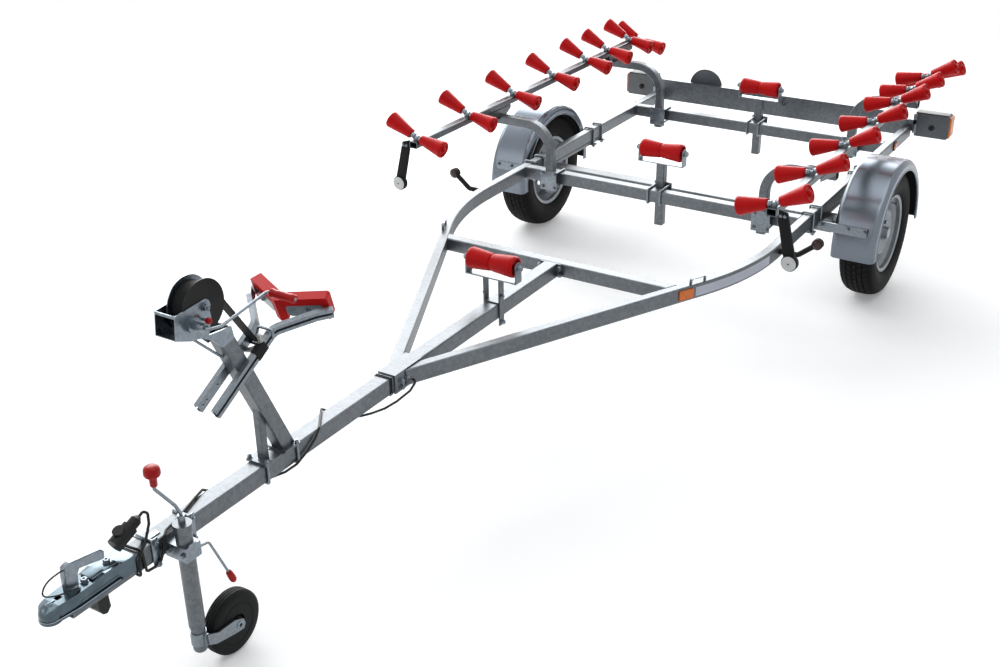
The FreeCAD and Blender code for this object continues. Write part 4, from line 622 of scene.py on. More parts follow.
# Wheels: bolts in their seats, the cap's rolled edge and dome, and the valve
HUB_FACE_X = 903.5
BOLT_CIRCLE = 50.0
BOLT_SEAT = [(-1, 9.5), (0.6, 15.5), (2.4, 15), (2.6, 11.5)]
CAP_EDGE = [(0, 30.5), (0, 34), (2, 35), (5, 33.5), (6, 30)]
CAP_DOME = [(30.8, 0), (32.8, 24), (34.6, 22), (35.4, 12), (35.6, 0)]
VALVE = [(0, 0), (0, 5), (6, 4), (22, 3.6), (24, 4.4), (32, 4.4), (33, 0)]


def dress_wheel(side, body):
    out = (side, 0, 0)
    face = at(HUB_FACE_X * side, 0, WHEEL_RISE)
    spots = []
    meshes = [turned(CAP_EDGE, face, out, 40), turned(CAP_DOME, face, out, 40),
              turned(VALVE, at((WHEEL_X + 52) * side, 0, WHEEL_RISE + 151.5), (side, 0, -0.35), 14)]
    for degrees in (45, 135, 225, 315):
        turn = math.radians(degrees)
        foot = face + Vector((0, math.cos(turn), math.sin(turn))) * BOLT_CIRCLE * MM
        meshes.append(turned(BOLT_SEAT, foot, out, 28))
        spots.append((foot + Vector((0.8 * side * MM, 0, 0)), out, 10.2))
    lay_out(body + "_fittings", meshes, bright_zinc, body)
    fasteners(body + "_bolts", spots, 0.12, body)


for side, label in SIDES:
    make_tyre(side, "wheel_" + label, "tyre_" + label)
    dress_wheel(side, "wheel_" + label)


# Cone rollers: a dished big end with its cap, a collar and a nut at the small end
CONE = [(0, 6.9), (0, 18.5), (1.6, 20.5), (4, 21.3), (20, 23.4), (108, 36.2), (111, 37), (115, 36.8),
        (118.4, 35.2), (120, 32.6), (119.4, 30.6), (117.4, 29.2), (114.6, 27.4), (114, 25), (114, 13.5),
        (115, 12.4), (118, 12), (118, 6.9)]
CONE_CAP = [(117.9, 0), (117.9, 11.6), (124, 10.4), (126.6, 8.4), (127.3, 5), (127.4, 0)]
COLLAR = [(0, 6.8), (0, 12), (5, 12.6), (9, 12), (9, 6.8)]
# Distances from the bend of the pair's axle
CONE_START, COLLAR_START, NUT_START = 26.0, 16.5, 9.0
RACK_X, RACK_TOP, PAIR_RISE = 811.0, 306.0, 12.5
RACK_BEND_Y, RACK_MIDDLE_RISE = 880.0, 291.0
PAIR_YS = (-1170, -770, -375, 0, 345, 580, 835)
TAIL, TAIL_PAIR_RUN, TAIL_PAIR_LIFT = math.radians(22.0), 100.0, 27.5
INNER_TILT, OUTER_TILT = math.radians(14.0), math.radians(26.0)


def pair_centres(side):
    """Bends of the eight pairs' axles: seven on the rack's straight run, one on its falling tail."""
    along = Vector((0, math.cos(TAIL), -math.sin(TAIL))) * TAIL_PAIR_RUN
    up = Vector((0, math.sin(TAIL), math.cos(TAIL))) * TAIL_PAIR_LIFT
    tail = at(RACK_X * side, RACK_BEND_Y, RACK_MIDDLE_RISE) + (along + up) * MM
    return [at(RACK_X * side, y, RACK_TOP + PAIR_RISE) for y in PAIR_YS] + [tail]


def make_cones(side, label):
    ways = (Vector((-math.cos(INNER_TILT) * side, 0, -math.sin(INNER_TILT))),
            Vector((math.cos(OUTER_TILT) * side, 0, math.sin(OUTER_TILT))))
    cones, collars, caps, nuts = [], [], [], []
    for place in pair_centres(side):
        for out in ways:
            start = place + out * CONE_START * MM
            cones.append(turned(CONE, start, out, 40))
            caps.append(turned(CONE_CAP, start, out, 20))
            collars.append(turned(COLLAR, place + out * COLLAR_START * MM, out, 24))
            nuts.append((place + out * NUT_START * MM, out, 10.5))
    lay_out("cones_" + label, cones, roller_red, replaced=("cone_rollers_" + label,))
    lay_out("cone_collars_" + label, collars, bright_zinc)
    lay_out("cone_caps_" + label, caps, roller_red)
    fasteners("cone_nuts_" + label, nuts, 0.2)


for side, label in SIDES:
    make_cones(side, label)


# Keel rollers: waisted bodies with rounded rims and recessed ends
KEEL_HALF = [(100, 8.1), (86, 8.1), (86, 16), (88, 27.5), (98.5, 31), (100, 33.4), (98.6, 37),
             (94, 39.8), (89, 40.9), (84, 40.6), (9, 33.6), (5, 32.4), (3.6, 29.6), (0.8, 29)]
KEEL_FRONT_Y, KEEL_PIN_END = -1841.0, 110.0
pin_ends = []
for label, y, rise in (("front", KEEL_FRONT_Y, 158), ("middle", -412, 172), ("rear", 753, 172)):
    roller = turned(mirror_profile(KEEL_HALF), at(0, y, rise), X_WAY, 56)
    lay_out("keel_" + label, roller, roller_red, "roller_" + label, ("keel_roller_" + label,))
    pin_ends.append((at(KEEL_PIN_END, y, rise), X_WAY, 12.5))
fasteners("keel_pin_nuts", both(pin_ends), 0.35)


# U-bolts: round the cross beams at the keel posts and the rack arms, round the rails at the axle's saddles,
# and round the drawbar at the feet of the post and its strut
U_ROD_RADIUS, U_ROD_BEND = 4.6, 7.0
# The rods' middle lines from the faces of beam, rail and drawbar
BEAM_OFF, RAIL_OFF, DRAWBAR_OFF = 5.4, 5.6, 4.2
# Outer faces of the clamp plates, and the rods' ends
POST_CLAMP, ARM_CLAMP, SADDLE_CLAMP = 96.0, -46.3, -81.0
POST_ROD_END, ARM_ROD_END, SADDLE_ROD_END = 104.0, -54.0, -92.0
POST_ROD_X, ARM_ROD_XS = 30.5, (495.0, 557.0)
SADDLE_ROD_YS = (-412, -318, 190, 278)
# The plates' corners: x and rise
POST_PLATE, ARM_PLATE = ((-42, -74), (42, 18)), ((484, -75), (568, 19))
SADDLE_PLATE_XS, SADDLE_PLATE_HALF = (658, 733), 16
THIN_PLATE, THICK_PLATE, CLAMP_ROUND, U_NUT = 5.7, 6.0, 1.2, 8.5
FOOT_ROD_YS, FOOT_ROD_TOP, FOOT_TOP, FOOT_NUT = (POST_FOOT_Y + 24, STRUT_Y - 22), 20.0, 8.2, 7.6


def make_u_bolts():
    loops, nuts, plates = [], [], []
    upper, lower = BEAM_OFF, -BEAM_HEIGHT - BEAM_OFF

    def round_beam(x, end, clamp, shut, way):
        """Rod round a beam, its open end drawn through the clamp plate."""
        corners = ((end, upper), (shut, upper), (shut, lower), (end, lower))
        loops.append([at(x, y, rise) for y, rise in corners])
        nuts.extend((at(x, clamp, rise), (0, way, 0), U_NUT) for rise in (upper, lower))

    def plate(corners, y0, y1, side):
        (x0, low), (x1, high) = corners
        return block(at(x0 * side, y0, low), at(x1 * side, y1, high), CLAMP_ROUND)

    for front in BEAM_FRONTS[1:]:
        clamp = front + POST_CLAMP
        for x in (-POST_ROD_X, POST_ROD_X):
            round_beam(x, front + POST_ROD_END, clamp, front - BEAM_OFF, 1)
        plates.append(plate(POST_PLATE, clamp - THIN_PLATE, clamp, 1))
        clamp = front + ARM_CLAMP
        for side, label in SIDES:
            for x in ARM_ROD_XS:
                round_beam(x * side, front + ARM_ROD_END, clamp, front + BEAM_DEPTH + BEAM_OFF, -1)
            plates.append(plate(ARM_PLATE, clamp, clamp + THICK_PLATE, side))
    inner, outer = RAIL_OUTER_X - RAIL_WIDTH - RAIL_OFF, RAIL_OUTER_X + RAIL_OFF
    for y in SADDLE_ROD_YS:
        for side, label in SIDES:
            corners = ((inner, SADDLE_ROD_END), (inner, BEAM_OFF), (outer, BEAM_OFF), (outer, SADDLE_ROD_END))
            loops.append(across(corners, y, side))
            nuts += [(at(x * side, y, SADDLE_CLAMP), (0, 0, -1), U_NUT) for x in (inner, outer)]
            low, high = [at(x * side, y + way * SADDLE_PLATE_HALF, SADDLE_CLAMP + (way + 1) / 2 * THIN_PLATE)
                         for x, way in zip(SADDLE_PLATE_XS, (-1, 1))]
            plates.append(block(low, high, CLAMP_ROUND))
    half = DRAWBAR_SIDE / 2 + DRAWBAR_OFF
    bottom = -DRAWBAR_SIDE - DRAWBAR_OFF
    corners = ((-half, FOOT_ROD_TOP), (-half, bottom), (half, bottom), (half, FOOT_ROD_TOP))
    for y in FOOT_ROD_YS:
        loops.append(across(corners, y))
        nuts += [(at(x, y, FOOT_TOP), Z_WAY, FOOT_NUT) for x in (-half, half)]
    bent_bars("u_bolts", loops, U_ROD_RADIUS, U_ROD_BEND, zinc_pressing)
    lay_out("clamp_plates", plates, zinc_pressing)
    fasteners("u_bolt_nuts", nuts)


make_u_bolts()

# Bolts of coupling, keel bracket, sleeve, fender stays and front beam
shell_bolts = [(at(6, COUPLING_Y + 122, 6.0), Z_WAY, 9.6), (at(0, COUPLING_Y + 204, 12.6), Z_WAY, 9.6)]
fasteners("coupling_bolts", shell_bolts, 0.1)
SLEEVE_BOLTS = ((-2480, -26), (-2478, -52), (-2450, -29), (-2388, -30))
STAY_FACE_Y, BEAM_FACE_Y = 336.6, -1425.2
bolts = [(at(36, KEEL_FRONT_Y, -76), X_WAY, 9.5), (at(36, KEEL_FRONT_Y, 30), X_WAY, 7.5)]
bolts += [(at(35, y, rise), X_WAY, 9.0) for y, rise in SLEEVE_BOLTS]
bolts += [(at(x, way * STAY_FACE_Y, -70), (0, way, 0), 6.5) for x in (736, 850, 922) for way in (-1, 1)]
bolts += [(at(46, BEAM_FACE_Y, rise), (0, -1, 0), 8.0) for rise in (-14, -44)]
fasteners("frame_bolts", both(bolts), 0.45)


# Fenders: a black sheet on the inside, painted shade under the arches
def arc_sheet(profile, centre, half_turn, steps=72):
    """A closed line of (x, radius) carried round the wheel's axis, over the top."""
    rings = []
    for k in range(steps + 1):
        turn = math.radians(half_turn * (2 * k / steps - 1))
        rings.append([centre + Vector((x, r * math.sin(turn), r * math.cos(turn))) * MM for x, r in profile])
    return lofted(rings, ROUND_EDGE)


SHADE_SHEET_OUTER = [(94.6, 300), (94.6, 311), (92.4, 321), (86, 329.4), (78, 333.6), (70, 334.6)]
SHADE_SHEET_INNER = [(93.2, 298.8), (93.2, 309.8), (91.2, 319.2), (85.2, 327.2), (77.6, 331.2), (69.8, 332.2)]
shade_lining = mirror_profile(SHADE_SHEET_OUTER) + [(-x, radius) for x, radius in SHADE_SHEET_INNER] + SHADE_SHEET_INNER[::-1]
# Painted shade: a thin black sheet along the inside of each fender's arch
for side, label in SIDES:
    centre = at(WHEEL_X * side, 0, WHEEL_RISE)
    lay_out("painted_shade_sheet_" + label, arc_sheet(shade_lining, centre, 93.6), painted_shade_sheet)


# Jockey wheel: solid tyre with rings in its tread and face, on a dished hub
JOCKEY_TYRE = [(25, 30), (25, 62), (23.4, 63.4), (23.4, 66), (24.8, 67.4), (24.8, 84), (23, 92),
               (18.5, 97.6), (16.2, 98.8), (15.4, 97.4), (13.8, 97.4), (13, 99.6), (6.2, 100), (5.4, 98.4),
               (3.8, 98.4), (3, 100)]
JOCKEY_HUB = [(-14, 29), (-14, 22), (-25, 21), (-25, 10.1), (25, 10.1), (25, 21), (14, 22), (14, 29)]
AXLE_RING = [(35.1, 6), (35.1, 13), (36.4, 13), (37.4, 11.6), (37.4, 6)]
AXLE_PLUG = [(34.9, 0), (34.9, 5.9), (35.8, 5.4), (36, 0)]
wheel_place = at(JOCKEY_X, JOCKEY_WHEEL_Y, -374)
rubber = turned(mirror_profile(JOCKEY_TYRE) + JOCKEY_HUB, wheel_place, X_WAY, 80)
lay_out("jockey_rubber", rubber, solid_rubber, "jockey_wheel", ("jockey_wheel",))
rings = [turned(AXLE_RING, wheel_place, (way, 0, 0), 32) for way in (1, -1)]
plugs = [turned(AXLE_PLUG, wheel_place, (way, 0, 0), 24) for way in (1, -1)]
lay_out("jockey_axle_rings", rings, bright_zinc, "jockey_fork")
lay_out("jockey_axle_plugs", plugs, black_plastic, "jockey_fork")

# Red knobs of the jockey wheel's crank, its clamp's toggle and the winch's ratchet
KNOB = [(210.2, 0), (210.2, 5.2), (205, 5.2), (205, 9), (207, 10.2), (226, 10.6), (231, 12.6),
        (234, 17), (237, 20.6), (242, 22.8), (248, 23), (256, 22.2), (261, 20), (264.4, 15.6),
        (266, 8), (266, 0)]
TOGGLE_GRIP = [(0.2, 0), (0.2, 7), (3, 8.8), (14, 10.2), (27, 10.8), (37, 10), (42.6, 7.6), (45.4, 4),
               (46, 0)]
RATCHET_KNOB = [(51.2, 0), (51.2, 6.4), (53, 8.4), (56, 9), (62, 8.8), (65.4, 7), (67, 3.6), (67, 0)]
RATCHET_STEM = [(37.1, 0), (37.1, 4), (51.1, 4), (51.1, 0)]
toggle_bend, toggle_end = at(104, JOCKEY_Y + 62, -46), at(112, JOCKEY_Y + 112, -175)
ratchet_place = at(0, REEL_Y - 12, REEL_RISE - 31)
knobs = [turned(KNOB, at(JOCKEY_X, JOCKEY_Y - 74, 0), Z_WAY, 36),
         turned(TOGGLE_GRIP, toggle_end, toggle_end - toggle_bend, 28),
         turned(RATCHET_KNOB, ratchet_place, X_WAY, 28)]
lay_out("knobs", knobs, knob_red, replaced=("red_knobs",))
lay_out("ratchet_stem", turned(RATCHET_STEM, ratchet_place, X_WAY, 20), bright_zinc)

# Jockey clamp: straps over two rods round the drawbar, and the block's two bolts
CLAMP_FACE_X, CLAMP_ROD_OFF = 35.4, 5.2
rods, nuts, straps = [], [], []
for y in (-3604.0, -3466.0):
    near, upper, lower = -DRAWBAR_SIDE / 2 - 4.6, CLAMP_ROD_OFF, -DRAWBAR_SIDE - CLAMP_ROD_OFF
    rods.append(across(((42, upper), (near, upper), (near, lower), (42, lower)), y))
    nuts += [(at(CLAMP_FACE_X, y, rise), X_WAY, U_NUT) for rise in (upper, lower)]
    straps.append(block(at(CLAMP_FACE_X - 5, y - 12, -76), at(CLAMP_FACE_X, y + 12, 15), 1.4))
bent_bars("clamp_loops", rods, 4.0, U_ROD_BEND, bright_zinc)
fasteners("clamp_nuts", nuts)
lay_out("clamp_straps", straps, bright_zinc)
fasteners("clamp_bolts", [(at(x, JOCKEY_Y - 28, -40), (0, -1, 0), 7.5) for x in (96, 44)], 0.3)


# Markers: a rubber arm and cup with a white face and its screw in front, and round dark lamps on the rails
ARM_LINE = ((838, 306), (872, 296), (914, 128), (872, 112), (838, 262))
MARKER_CUP = [(-12.6, 0), (-12.6, 28), (-10, 32), (8, 32), (12.6, 28.5), (12.6, 0)]
MARKER_FACE = [(-12.7, 0), (-12.7, 27.4), (-14.4, 28.6), (-16.4, 27.2), (-17.6, 22), (-17.9, 4.2), (-17.9, 0)]
MARKER_SCREW = [(-17.6, 0), (-17.6, 3.6), (-18.9, 3), (-19.1, 0)]
SIDE_LENS = [(11.9, 0), (11.9, 19.2), (14.6, 18.4), (18, 14), (19.8, 7), (20.2, 0)]
ARM_FACE_Y, ARM_THICK, ARM_ROUND = -1194.0, 15.0, 3.0
MARKER_X, MARKER_Y, MARKER_RISE = 896.0, -1187.0, 104.0
PLATE_BOLT_XS, PLATE_BOLT_RISE = (848, 864), 284.0
SIDE_LAMP_X, SIDE_LAMP_Y, SIDE_LAMP_RISE = 871.0, -795.0, 33.0


def make_markers():
    arms, white_faces, screws, lenses, plate_bolts = [], [], [], [], []
    for side, label in SIDES:
        centre = at(MARKER_X * side, MARKER_Y, MARKER_RISE)
        arms.append(rounded_prism(across(ARM_LINE, ARM_FACE_Y, side), backward(ARM_THICK), ARM_ROUND))
        arms.append(turned(MARKER_CUP, centre, Y_WAY, 44))
        white_faces.append(turned(MARKER_FACE, centre, Y_WAY, 44))
        screws.append(turned(MARKER_SCREW, centre, Y_WAY, 20))
        plate_bolts += [(at(x * side, ARM_FACE_Y - 0.4, PLATE_BOLT_RISE), (0, -1, 0), 5.2)
                        for x in PLATE_BOLT_XS]
        lamp = at(SIDE_LAMP_X * side, SIDE_LAMP_Y, SIDE_LAMP_RISE)
        for way in (-1, 1):
            lenses.append(turned([(way * y, radius) for y, radius in SIDE_LENS], lamp, Y_WAY, 36))
    lay_out("marker_arms", arms, solid_rubber, replaced=("front_markers",))
    lay_out("marker_faces", white_faces, marker_white)
    lay_out("marker_screws", screws, black_plastic)
    lay_out("side_lenses", lenses, smoked_lens)
    fasteners("marker_bolts", plate_bolts, 0.3)


make_markers()


# Tail lamps: amber side lens with ribs, red rear lens, a knob and rim on the housing's front, and its bracket
AMBER_LINE = ((903.7, -42), (908.5, -40.4), (912.2, -31.6), (912.2, 55.6), (908.5, 64.4), (903.7, 66))
RED_LINE = ((735, -48), (893, -48), (910, -31), (910, 55), (893, 72), (735, 72))
RIM_LINE = ((733, 70), (895, 70), (895, 75), (733, 75))
LAMP_KNOB = [(0.2, 0), (0.2, 13), (-2, 14), (-7.5, 13.2), (-9.4, 10), (-9.6, 0)]
RAIL_AMBER = [(0.2, 0), (0.2, 21), (5, 19.8), (9, 14), (10.4, 0)]
RAIL_AMBER_RIM = [(0.1, 20.9), (0.1, 26.5), (4, 26.5), (5.8, 23.8), (5.6, 20.9)]
LAMP_FRONT_Y, LAMP_KNOB_X = 1038.0, 817.0
AMBER_RUN, RIM_RUN = 61.4, 60.0
LENS_Y, LENS_THICK = 1099.9, 7.6
LENS_RIBS, RIB_PITCH, RIB_HEIGHT, RIB_START = 9, 10.0, 4.4, -28.0
# The ribs' corners: x and y
RIB_FRONT, RIB_REAR = (911.8, 1041), (913.2, 1096)
RAIL_AMBER_Y, RAIL_AMBER_RISE = 762.0, -28.0
BRACKET_YS = (1031.4, 1037.2)
BRACKET_PLATES = ((724, -36, 742, 66), (700, 10, 742, 34))


def make_tail_lamps():
    ambers, reds, knobs, brackets, round_ambers, rims = [], [], [], [], [], []
    for side, label in SIDES:
        ambers.append(prism(across(AMBER_LINE, LAMP_FRONT_Y + 0.2, side), backward(AMBER_RUN)))
        for i in range(LENS_RIBS):
            rise = RIB_START + i * RIB_PITCH
            front = at(RIB_FRONT[0] * side, RIB_FRONT[1], rise)
            rear = at(RIB_REAR[0] * side, RIB_REAR[1], rise + RIB_HEIGHT)
            ambers.append(block(front, rear, 0.5, 1))
        reds.append(rounded_prism(across(RED_LINE, LENS_Y, side), backward(LENS_THICK), 2.0))
        knobs.append(turned(LAMP_KNOB, at(LAMP_KNOB_X * side, LAMP_FRONT_Y - 0.4, 2), Y_WAY, 32))
        knobs.append(rounded_prism(across(RIM_LINE, LAMP_FRONT_Y - 1.4, side), backward(RIM_RUN), 0.8))
        for x0, low, x1, high in BRACKET_PLATES:
            brackets.append(block(at(x0 * side, BRACKET_YS[0], low), at(x1 * side, BRACKET_YS[1], high), 1.2))
        amber_place = at(RAIL_OUTER_X * side, RAIL_AMBER_Y, RAIL_AMBER_RISE)
        round_ambers.append(turned(RAIL_AMBER, amber_place, (side, 0, 0), 32))
        rims.append(turned(RAIL_AMBER_RIM, amber_place, (side, 0, 0), 32))
    lay_out("amber_lenses", ambers, amber_acrylic, replaced=("tail_lenses",))
    lay_out("red_lenses", reds, red_acrylic)
    lay_out("lamp_knobs", knobs + rims, black_plastic)
    lay_out("lamp_brackets", brackets, bright_zinc)
    lay_out("rail_ambers", round_ambers, amber_acrylic)


make_tail_lamps()


# Bare strips on the rails' outer faces, from the reflector round the bend
FILM_START_Y, FILM_RUN, FILM_STEPS = -1326.0, 430.0, 40
FILM_SECTION = ((0.2, -50), (0.7, -50), (0.7, -12), (0.2, -12))


def rail_face(y):
    """Outer face of the rail with its bend."""
    radius = RAIL_BEND + RAIL_WIDTH / 2
    reach = radius * math.tan(RAIL_LEAN / 2)
    start, end = RAIL_MEET_Y - reach * math.cos(RAIL_LEAN), RAIL_MEET_Y + reach
    if y <= start:
        return RAIL_OUTER_X - (RAIL_MEET_Y - y) * math.tan(RAIL_LEAN)
    if y >= end:
        return RAIL_OUTER_X
    return RAIL_OUTER_X - radius + math.sqrt(radius ** 2 - (end - y) ** 2)


def make_film(side):
    rings = []
    for i in range(FILM_STEPS + 1):
        y = FILM_START_Y + FILM_RUN * i / FILM_STEPS
        face = rail_face(y)
        way = math.atan2(rail_face(y + 2) - rail_face(y - 2), 4)
        rings.append([at((face + out * math.cos(way)) * side, y - out * math.sin(way), rise)
                      for out, rise in FILM_SECTION])
    return lofted(rings)


lay_out("rail_films", [make_film(side) for side, label in SIDES], strip_film)


# Winch: layers of the coiled strap, gear and pinion teeth, shaft nuts, floor bolts and the crank's grip
STRAP_LAYERS, STRAP_THICK = 14, 3.0
TOOTH_XS = (25.3, 29.1)
SHAFT_END_X, FLOOR_BOLTS = 37.1, ((-50, -75.4), (-15, -82.3))
TOOTH_HALF = ((-1.2, 0.31), (0.4, 0.27), (1.7, 0.13))
GRIP = [(0.2, 4.7), (0.2, 10), (3, 12.3), (8, 12.5), (12, 11.2), (22, 12.4), (40, 12.5), (60, 11.6),
        (74, 12.4), (84, 12), (87.6, 9.6), (88, 4.7)]


def coil_profile():
    """Half section of the coil: each layer's edge is rounded and stands out a little over the seam."""
    half = [(21.0, 20.2)]
    for i in range(STRAP_LAYERS):
        rise = STRAP_THICK * i
        half += [(21.0, 20.6 + rise), (21.0, 22.8 + rise), (20.2, 23.2 + rise)]
    return mirror_profile(half[:-1] + [(20.6, 62.9)])


def gear_tooth(radius, pitch):
    """One tooth with slanted flanks, standing on the blank's rim."""
    line = TOOTH_HALF + tuple((rise, -half) for rise, half in reversed(TOOTH_HALF))
    turns = [(radius + rise, half * pitch / radius) for rise, half in line]
    return lofted([[Vector((x, reach * math.sin(turn), reach * math.cos(turn))) * MM for reach, turn in turns]
                   for x in TOOTH_XS], TOOTH_EDGE)


def cut_gear(name, centre, radius, sink, count, first, body):
    """Ring of teeth; sink is how far the tooth's middle lies under the pitch circle."""
    tooth = gear_tooth(radius - sink, 2 * math.pi * radius / count)
    values = {"Count": count, "First turn": first, "Centre": tuple(centre), "Material": bright_zinc}
    lay_out(name, grown(tooth, SET_ROUND, values, TOOTH_EDGE), None, body)


def make_winch():
    reel, crank = at(0, REEL_Y, REEL_RISE), at(0, CRANK_Y, CRANK_RISE)
    coil = turned(coil_profile(), reel, X_WAY, 72)
    lay_out("coiled_strap", coil, woven_strap, "winch_drum", ("strap_coil",))
    # The pinion is turned by half a tooth, so that the two rings mesh on the line between their axes
    between = math.atan2(CRANK_Y - REEL_Y, CRANK_RISE - REEL_RISE)
    cut_gear("gear_teeth", reel, 50.0, sink=1.5, count=50, first=-between, body="winch_drum")
    half_tooth = math.pi / 12
    cut_gear("pinion_teeth", crank, 12.0, sink=1.85, count=12, first=-(between + math.pi + half_tooth),
             body="winch_crank")
    ends = [(at(SHAFT_END_X * way, REEL_Y, REEL_RISE), (way, 0, 0), 11.0) for way in (1, -1)]
    fasteners("reel_nuts", ends, 0.4, "winch_drum")
    floor = []
    for x in (-17, 17):
        floor += [at(x, REEL_Y + y, REEL_RISE + rise) for y, rise in FLOOR_BOLTS]
    fasteners("winch_bolts", [(place, (0, 0.2, 1), 6.5) for place in floor], 0.3)
    grip = turned(GRIP, at(112.5, CRANK_Y + 232, CRANK_RISE + 17), X_WAY, 40)
    lay_out("crank_handle", grip, knob_red, "winch_crank", ("crank_grip",))


make_winch()


# Coupling: pressed lever, raised plate, rib and side beads on the shell, and the bead round its lip
LEVER_LINE = ((65, 6.3), (65, 49), (69, 80), (89, 86), (184, 69), (196, 57), (194, 35), (181, 37), (114, 54),
              (106, 44), (102, 6.3))
LIP_X, LIP_NOSE_RADIUS, LIP_RISE = 37.2, 29.2, -33.0


def make_coupling():
    def on_shell(x, y, rise):
        return at(x, COUPLING_Y + y, rise)

    outline = [on_shell(-9, y, rise) for y, rise in LEVER_LINE]
    lever = recessed_prism(outline, Vector((18, 0, 0)) * MM, rim_mm=3.4, depth_mm=3.0, round_mm=1.1)
    lay_out("lever", lever, bright_zinc, replaced=("coupling_lever",))
    pressings = [block(on_shell(-23, 134, 6.2), on_shell(23, 222, 12.9), 2.4),
                 block(on_shell(-4, 6, 5.4), on_shell(4, 30, 8.0), 1.2)]
    for way in (1, -1):
        pressings.append(block(on_shell(31.8 * way, 84, -27), on_shell(33.6 * way, 210, -20), 0.8))
    lay_out("coupling_pressings", pressings, pressed_steel)
    nose = []
    for degrees in range(20, 161, 10):
        turn = math.radians(degrees)
        nose.append(at(LIP_NOSE_RADIUS * math.cos(turn), BALL_Y - LIP_NOSE_RADIUS * math.sin(turn), LIP_RISE))
    near = [at(LIP_X, CUP_REAR_Y - 62, LIP_RISE), on_shell(LIP_X, 74, LIP_RISE)]
    far = [on_shell(-LIP_X, 74, LIP_RISE), at(-LIP_X, CUP_REAR_Y - 62, LIP_RISE)]
    bent_bars("lip_bead", [near + nose + far], 1.7, 6.0, bright_zinc, sides=10)


make_coupling()

# Hook at the strap's end: a heavy bar bent round under the strap, with its open mouth towards the post
HOOK_Y = -3119.0
HOOK_LINE = ((24.1, 414.6), (34, 413), (35.6, 401.4), (26.2, 386), (7.5, 369.2), (-9.5, 360.3), (-24, 355.5),
             (-37.5, 357.5), (-42.5, 365.7), (-38.2, 375), (-28.2, 379.3))
bent_bars("heavy_hook", [across(HOOK_LINE, HOOK_Y)], 7.6, 5.0, forged_zinc, sides=16)

# Bow stop: bolts that hold the brackets to the arms
fasteners("stop_bolts", both([(at(84.9, -2964.7, 442.5), (0.4, -0.875, -0.273), 7.0)]), 0.3)

# Bands that hold the cable to the drawbar, and the board's small hook
BAND_X, BAND_TOP, BAND_LOW = 31.4, 1.2, -61.2
BAND_LINE = ((-BAND_X, BAND_TOP), (BAND_X, BAND_TOP), (BAND_X, BAND_LOW), (-BAND_X, BAND_LOW),
             (-BAND_X, BAND_TOP))
BOARD_HOOK = ((26, 1037.6, 40), (26, 1026, 40), (26, 1026, 16), (40, 1026, 12), (40, 1026, 26))
bands = [across(BAND_LINE, y) for y in (-2534.0, -2526.0)]
bent_bars("cable_bands", bands, 1.7, 3.0, black_plastic, 8)
bent_bars("board_hook", [[at(*point) for point in BOARD_HOOK]], 2.4, 4.0, black_plastic, 8)

# The round disc's rolled rim and its middle screw
DISC_RIM = [(6.1, 84), (6.1, 94.8), (7.6, 94), (8.2, 91), (7.4, 85)]
DISC_SCREW = [(6.1, 0), (6.1, 7), (8.6, 6.2), (9.2, 0)]
DISC_X, DISC_Y, DISC_RISE = -440.0, 1071.8, 42.0
disc = at(DISC_X, DISC_Y, DISC_RISE)
disc_forms = [turned(DISC_RIM, disc, Y_WAY, 64), turned(DISC_SCREW, disc, Y_WAY, 24)]
lay_out("disc_rim", disc_forms, black_plastic)


# Safety cable: the coupling's thin coated wire, from the lever's end over the nose and back beside the lever
CABLE_RADIUS = 2.2
CABLE_ROUTE = ((0, 67, 72), (0, 36, 73), (0, 8, 62), (0, -4, 38), (12, 18, 28), (21, 50, 22), (21, 84, 16),
               (21, 96, 7.9))


def lay_safety_cable():
    data = bpy.data.curves.new("safety_cable_line", "CURVE")
    data.dimensions = "3D"
    line = data.splines.new("NURBS")
    line.points.add(len(CABLE_ROUTE) - 1)
    for point, (x, y, rise) in zip(line.points, CABLE_ROUTE):
        point.co = (*at(x, COUPLING_Y + y, rise), 1.0)
    line.order_u = 3
    line.use_endpoint_u = True
    line.resolution_u = 12
    data.bevel_depth = CABLE_RADIUS * MM
    data.bevel_resolution = 5
    data.use_fill_caps = True
    piece = link("safety_cable_line", data)
    finish_piece(piece, cable_sheath, "trailer", ("safety_cable",))


lay_safety_cable()


# Studio
SKY_SHADE = (0.92, 0.955, 1.0, 1.0)
WHITE = (1.0, 1.0, 1.0, 1.0)
FLOOR_HALF, FLOOR_THICK, FLOOR_GAP = 30.0, 0.0199, 0.0001
FLOOR_GLOW = 0.2
FADE_FROM, FADE_TO = 3.2, 6.5


def direct_rays(tree):
    """1 for the camera's rays and those that metal or glass sends on."""
    rays = tree.nodes.new("ShaderNodeLightPath")
    first = add(tree, "ShaderNodeMath", {"operation": "MAXIMUM"}, in0=rays.outputs["Is Camera Ray"],
                in1=rays.outputs["Is Transmission Ray"])
    both_kinds = add(tree, "ShaderNodeMath", {"operation": "MAXIMUM"}, in0=first,
                     in1=rays.outputs["Is Glossy Ray"])
    return both_kinds.outputs[0]


def set_air():
    """White to the camera and to what mirrors it; dimmer and a little blue as light on the trailer."""
    world = bpy.data.worlds.new("studio_air")
    bpy.context.scene.world = world
    world.use_nodes = True
    air = world.node_tree
    air.nodes.clear()
    seen = direct_rays(air)
    strength = spread(air, seen, 0.3, 1.0)
    tint = add(air, "ShaderNodeMix", {"data_type": "RGBA"}, in0=seen, in6=SKY_SHADE, in7=WHITE)
    sky = add(air, "ShaderNodeBackground", Color=tint.outputs[2], Strength=strength)
    add(air, "ShaderNodeOutputWorld", Surface=sky)


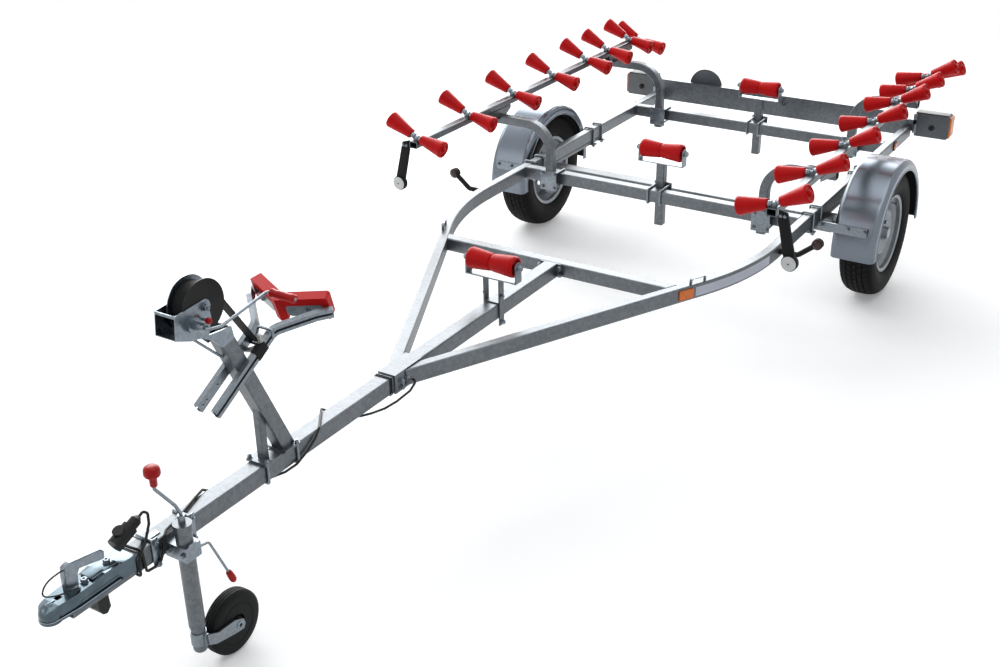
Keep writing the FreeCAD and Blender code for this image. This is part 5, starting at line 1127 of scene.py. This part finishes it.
def lay_floor():
    """White paper that keeps the shadow and fades to plain white away from the trailer."""
    low = -FLOOR_GAP - FLOOR_THICK
    corners = [Vector((x * FLOOR_HALF, y * FLOOR_HALF, low)) for x, y in ((-1, -1), (1, -1), (1, 1), (-1, 1))]
    floor = link("studio_floor", prism(corners, Vector((0, 0, FLOOR_THICK))))
    paper, tree, shader = start_material("white_studio_paper")
    shader.inputs["Base Color"].default_value = linear("#F4F5F5")
    shader.inputs["Roughness"].default_value = 0.9
    shader.inputs["Specular IOR Level"].default_value = 0.0
    shader.inputs["Emission Color"].default_value = WHITE
    seen = direct_rays(tree)
    glow = add(tree, "ShaderNodeMath", {"operation": "MULTIPLY"}, in0=seen, in1=FLOOR_GLOW)
    tree.links.new(glow.outputs[0], shader.inputs["Emission Strength"])
    place = tree.nodes.new("ShaderNodeTexCoord")
    reach = add(tree, "ShaderNodeVectorMath", {"operation": "LENGTH"}, in0=place.outputs["Object"])
    far = add(tree, "ShaderNodeMapRange", Value=reach.outputs["Value"], From_Min=FADE_FROM, From_Max=FADE_TO)
    fade = add(tree, "ShaderNodeMath", {"operation": "MULTIPLY"}, in0=far, in1=seen)
    white = add(tree, "ShaderNodeEmission", Strength=1.0)
    mixed = add(tree, "ShaderNodeMixShader", in0=fade, in1=shader, in2=white)
    surface = next(node for node in tree.nodes if node.type == "OUTPUT_MATERIAL").inputs["Surface"]
    tree.links.new(mixed.outputs[0], surface)
    floor.data.materials.append(paper)


def hang_softbox(name, place, target, wide, tall, radiance):
    data = bpy.data.lights.new(name, "AREA")
    data.shape = "RECTANGLE"
    data.size = wide
    data.size_y = tall
    data.energy = radiance * math.pi * wide * tall
    lamp = link(name, data)
    lamp.visible_camera = False
    lamp.location = place
    lamp.rotation_euler = (Vector(target) - Vector(place)).to_track_quat("-Z", "Y").to_euler()


bpy.context.scene.view_settings.view_transform = "Standard"
set_air()
lay_floor()
hang_softbox("back_softbox", (-5.2, 8.6, 4.6), (0, 0, 0.6), 14.0, 7.0, radiance=5.8)
hang_softbox("side_softbox", (-6.0, 1.5, 5.2), (0, -2.2, 0.5), 5.0, 4.0, radiance=3.2)
hang_softbox("top_softbox", (1.0, -0.5, 6.5), (0, 0, 0.3), 6.0, 6.0, radiance=1.35)
hang_softbox("front_softbox", (-4.0, -7.0, 4.5), (0, -0.8, 0.5), 5.0, 3.5, radiance=1.2)
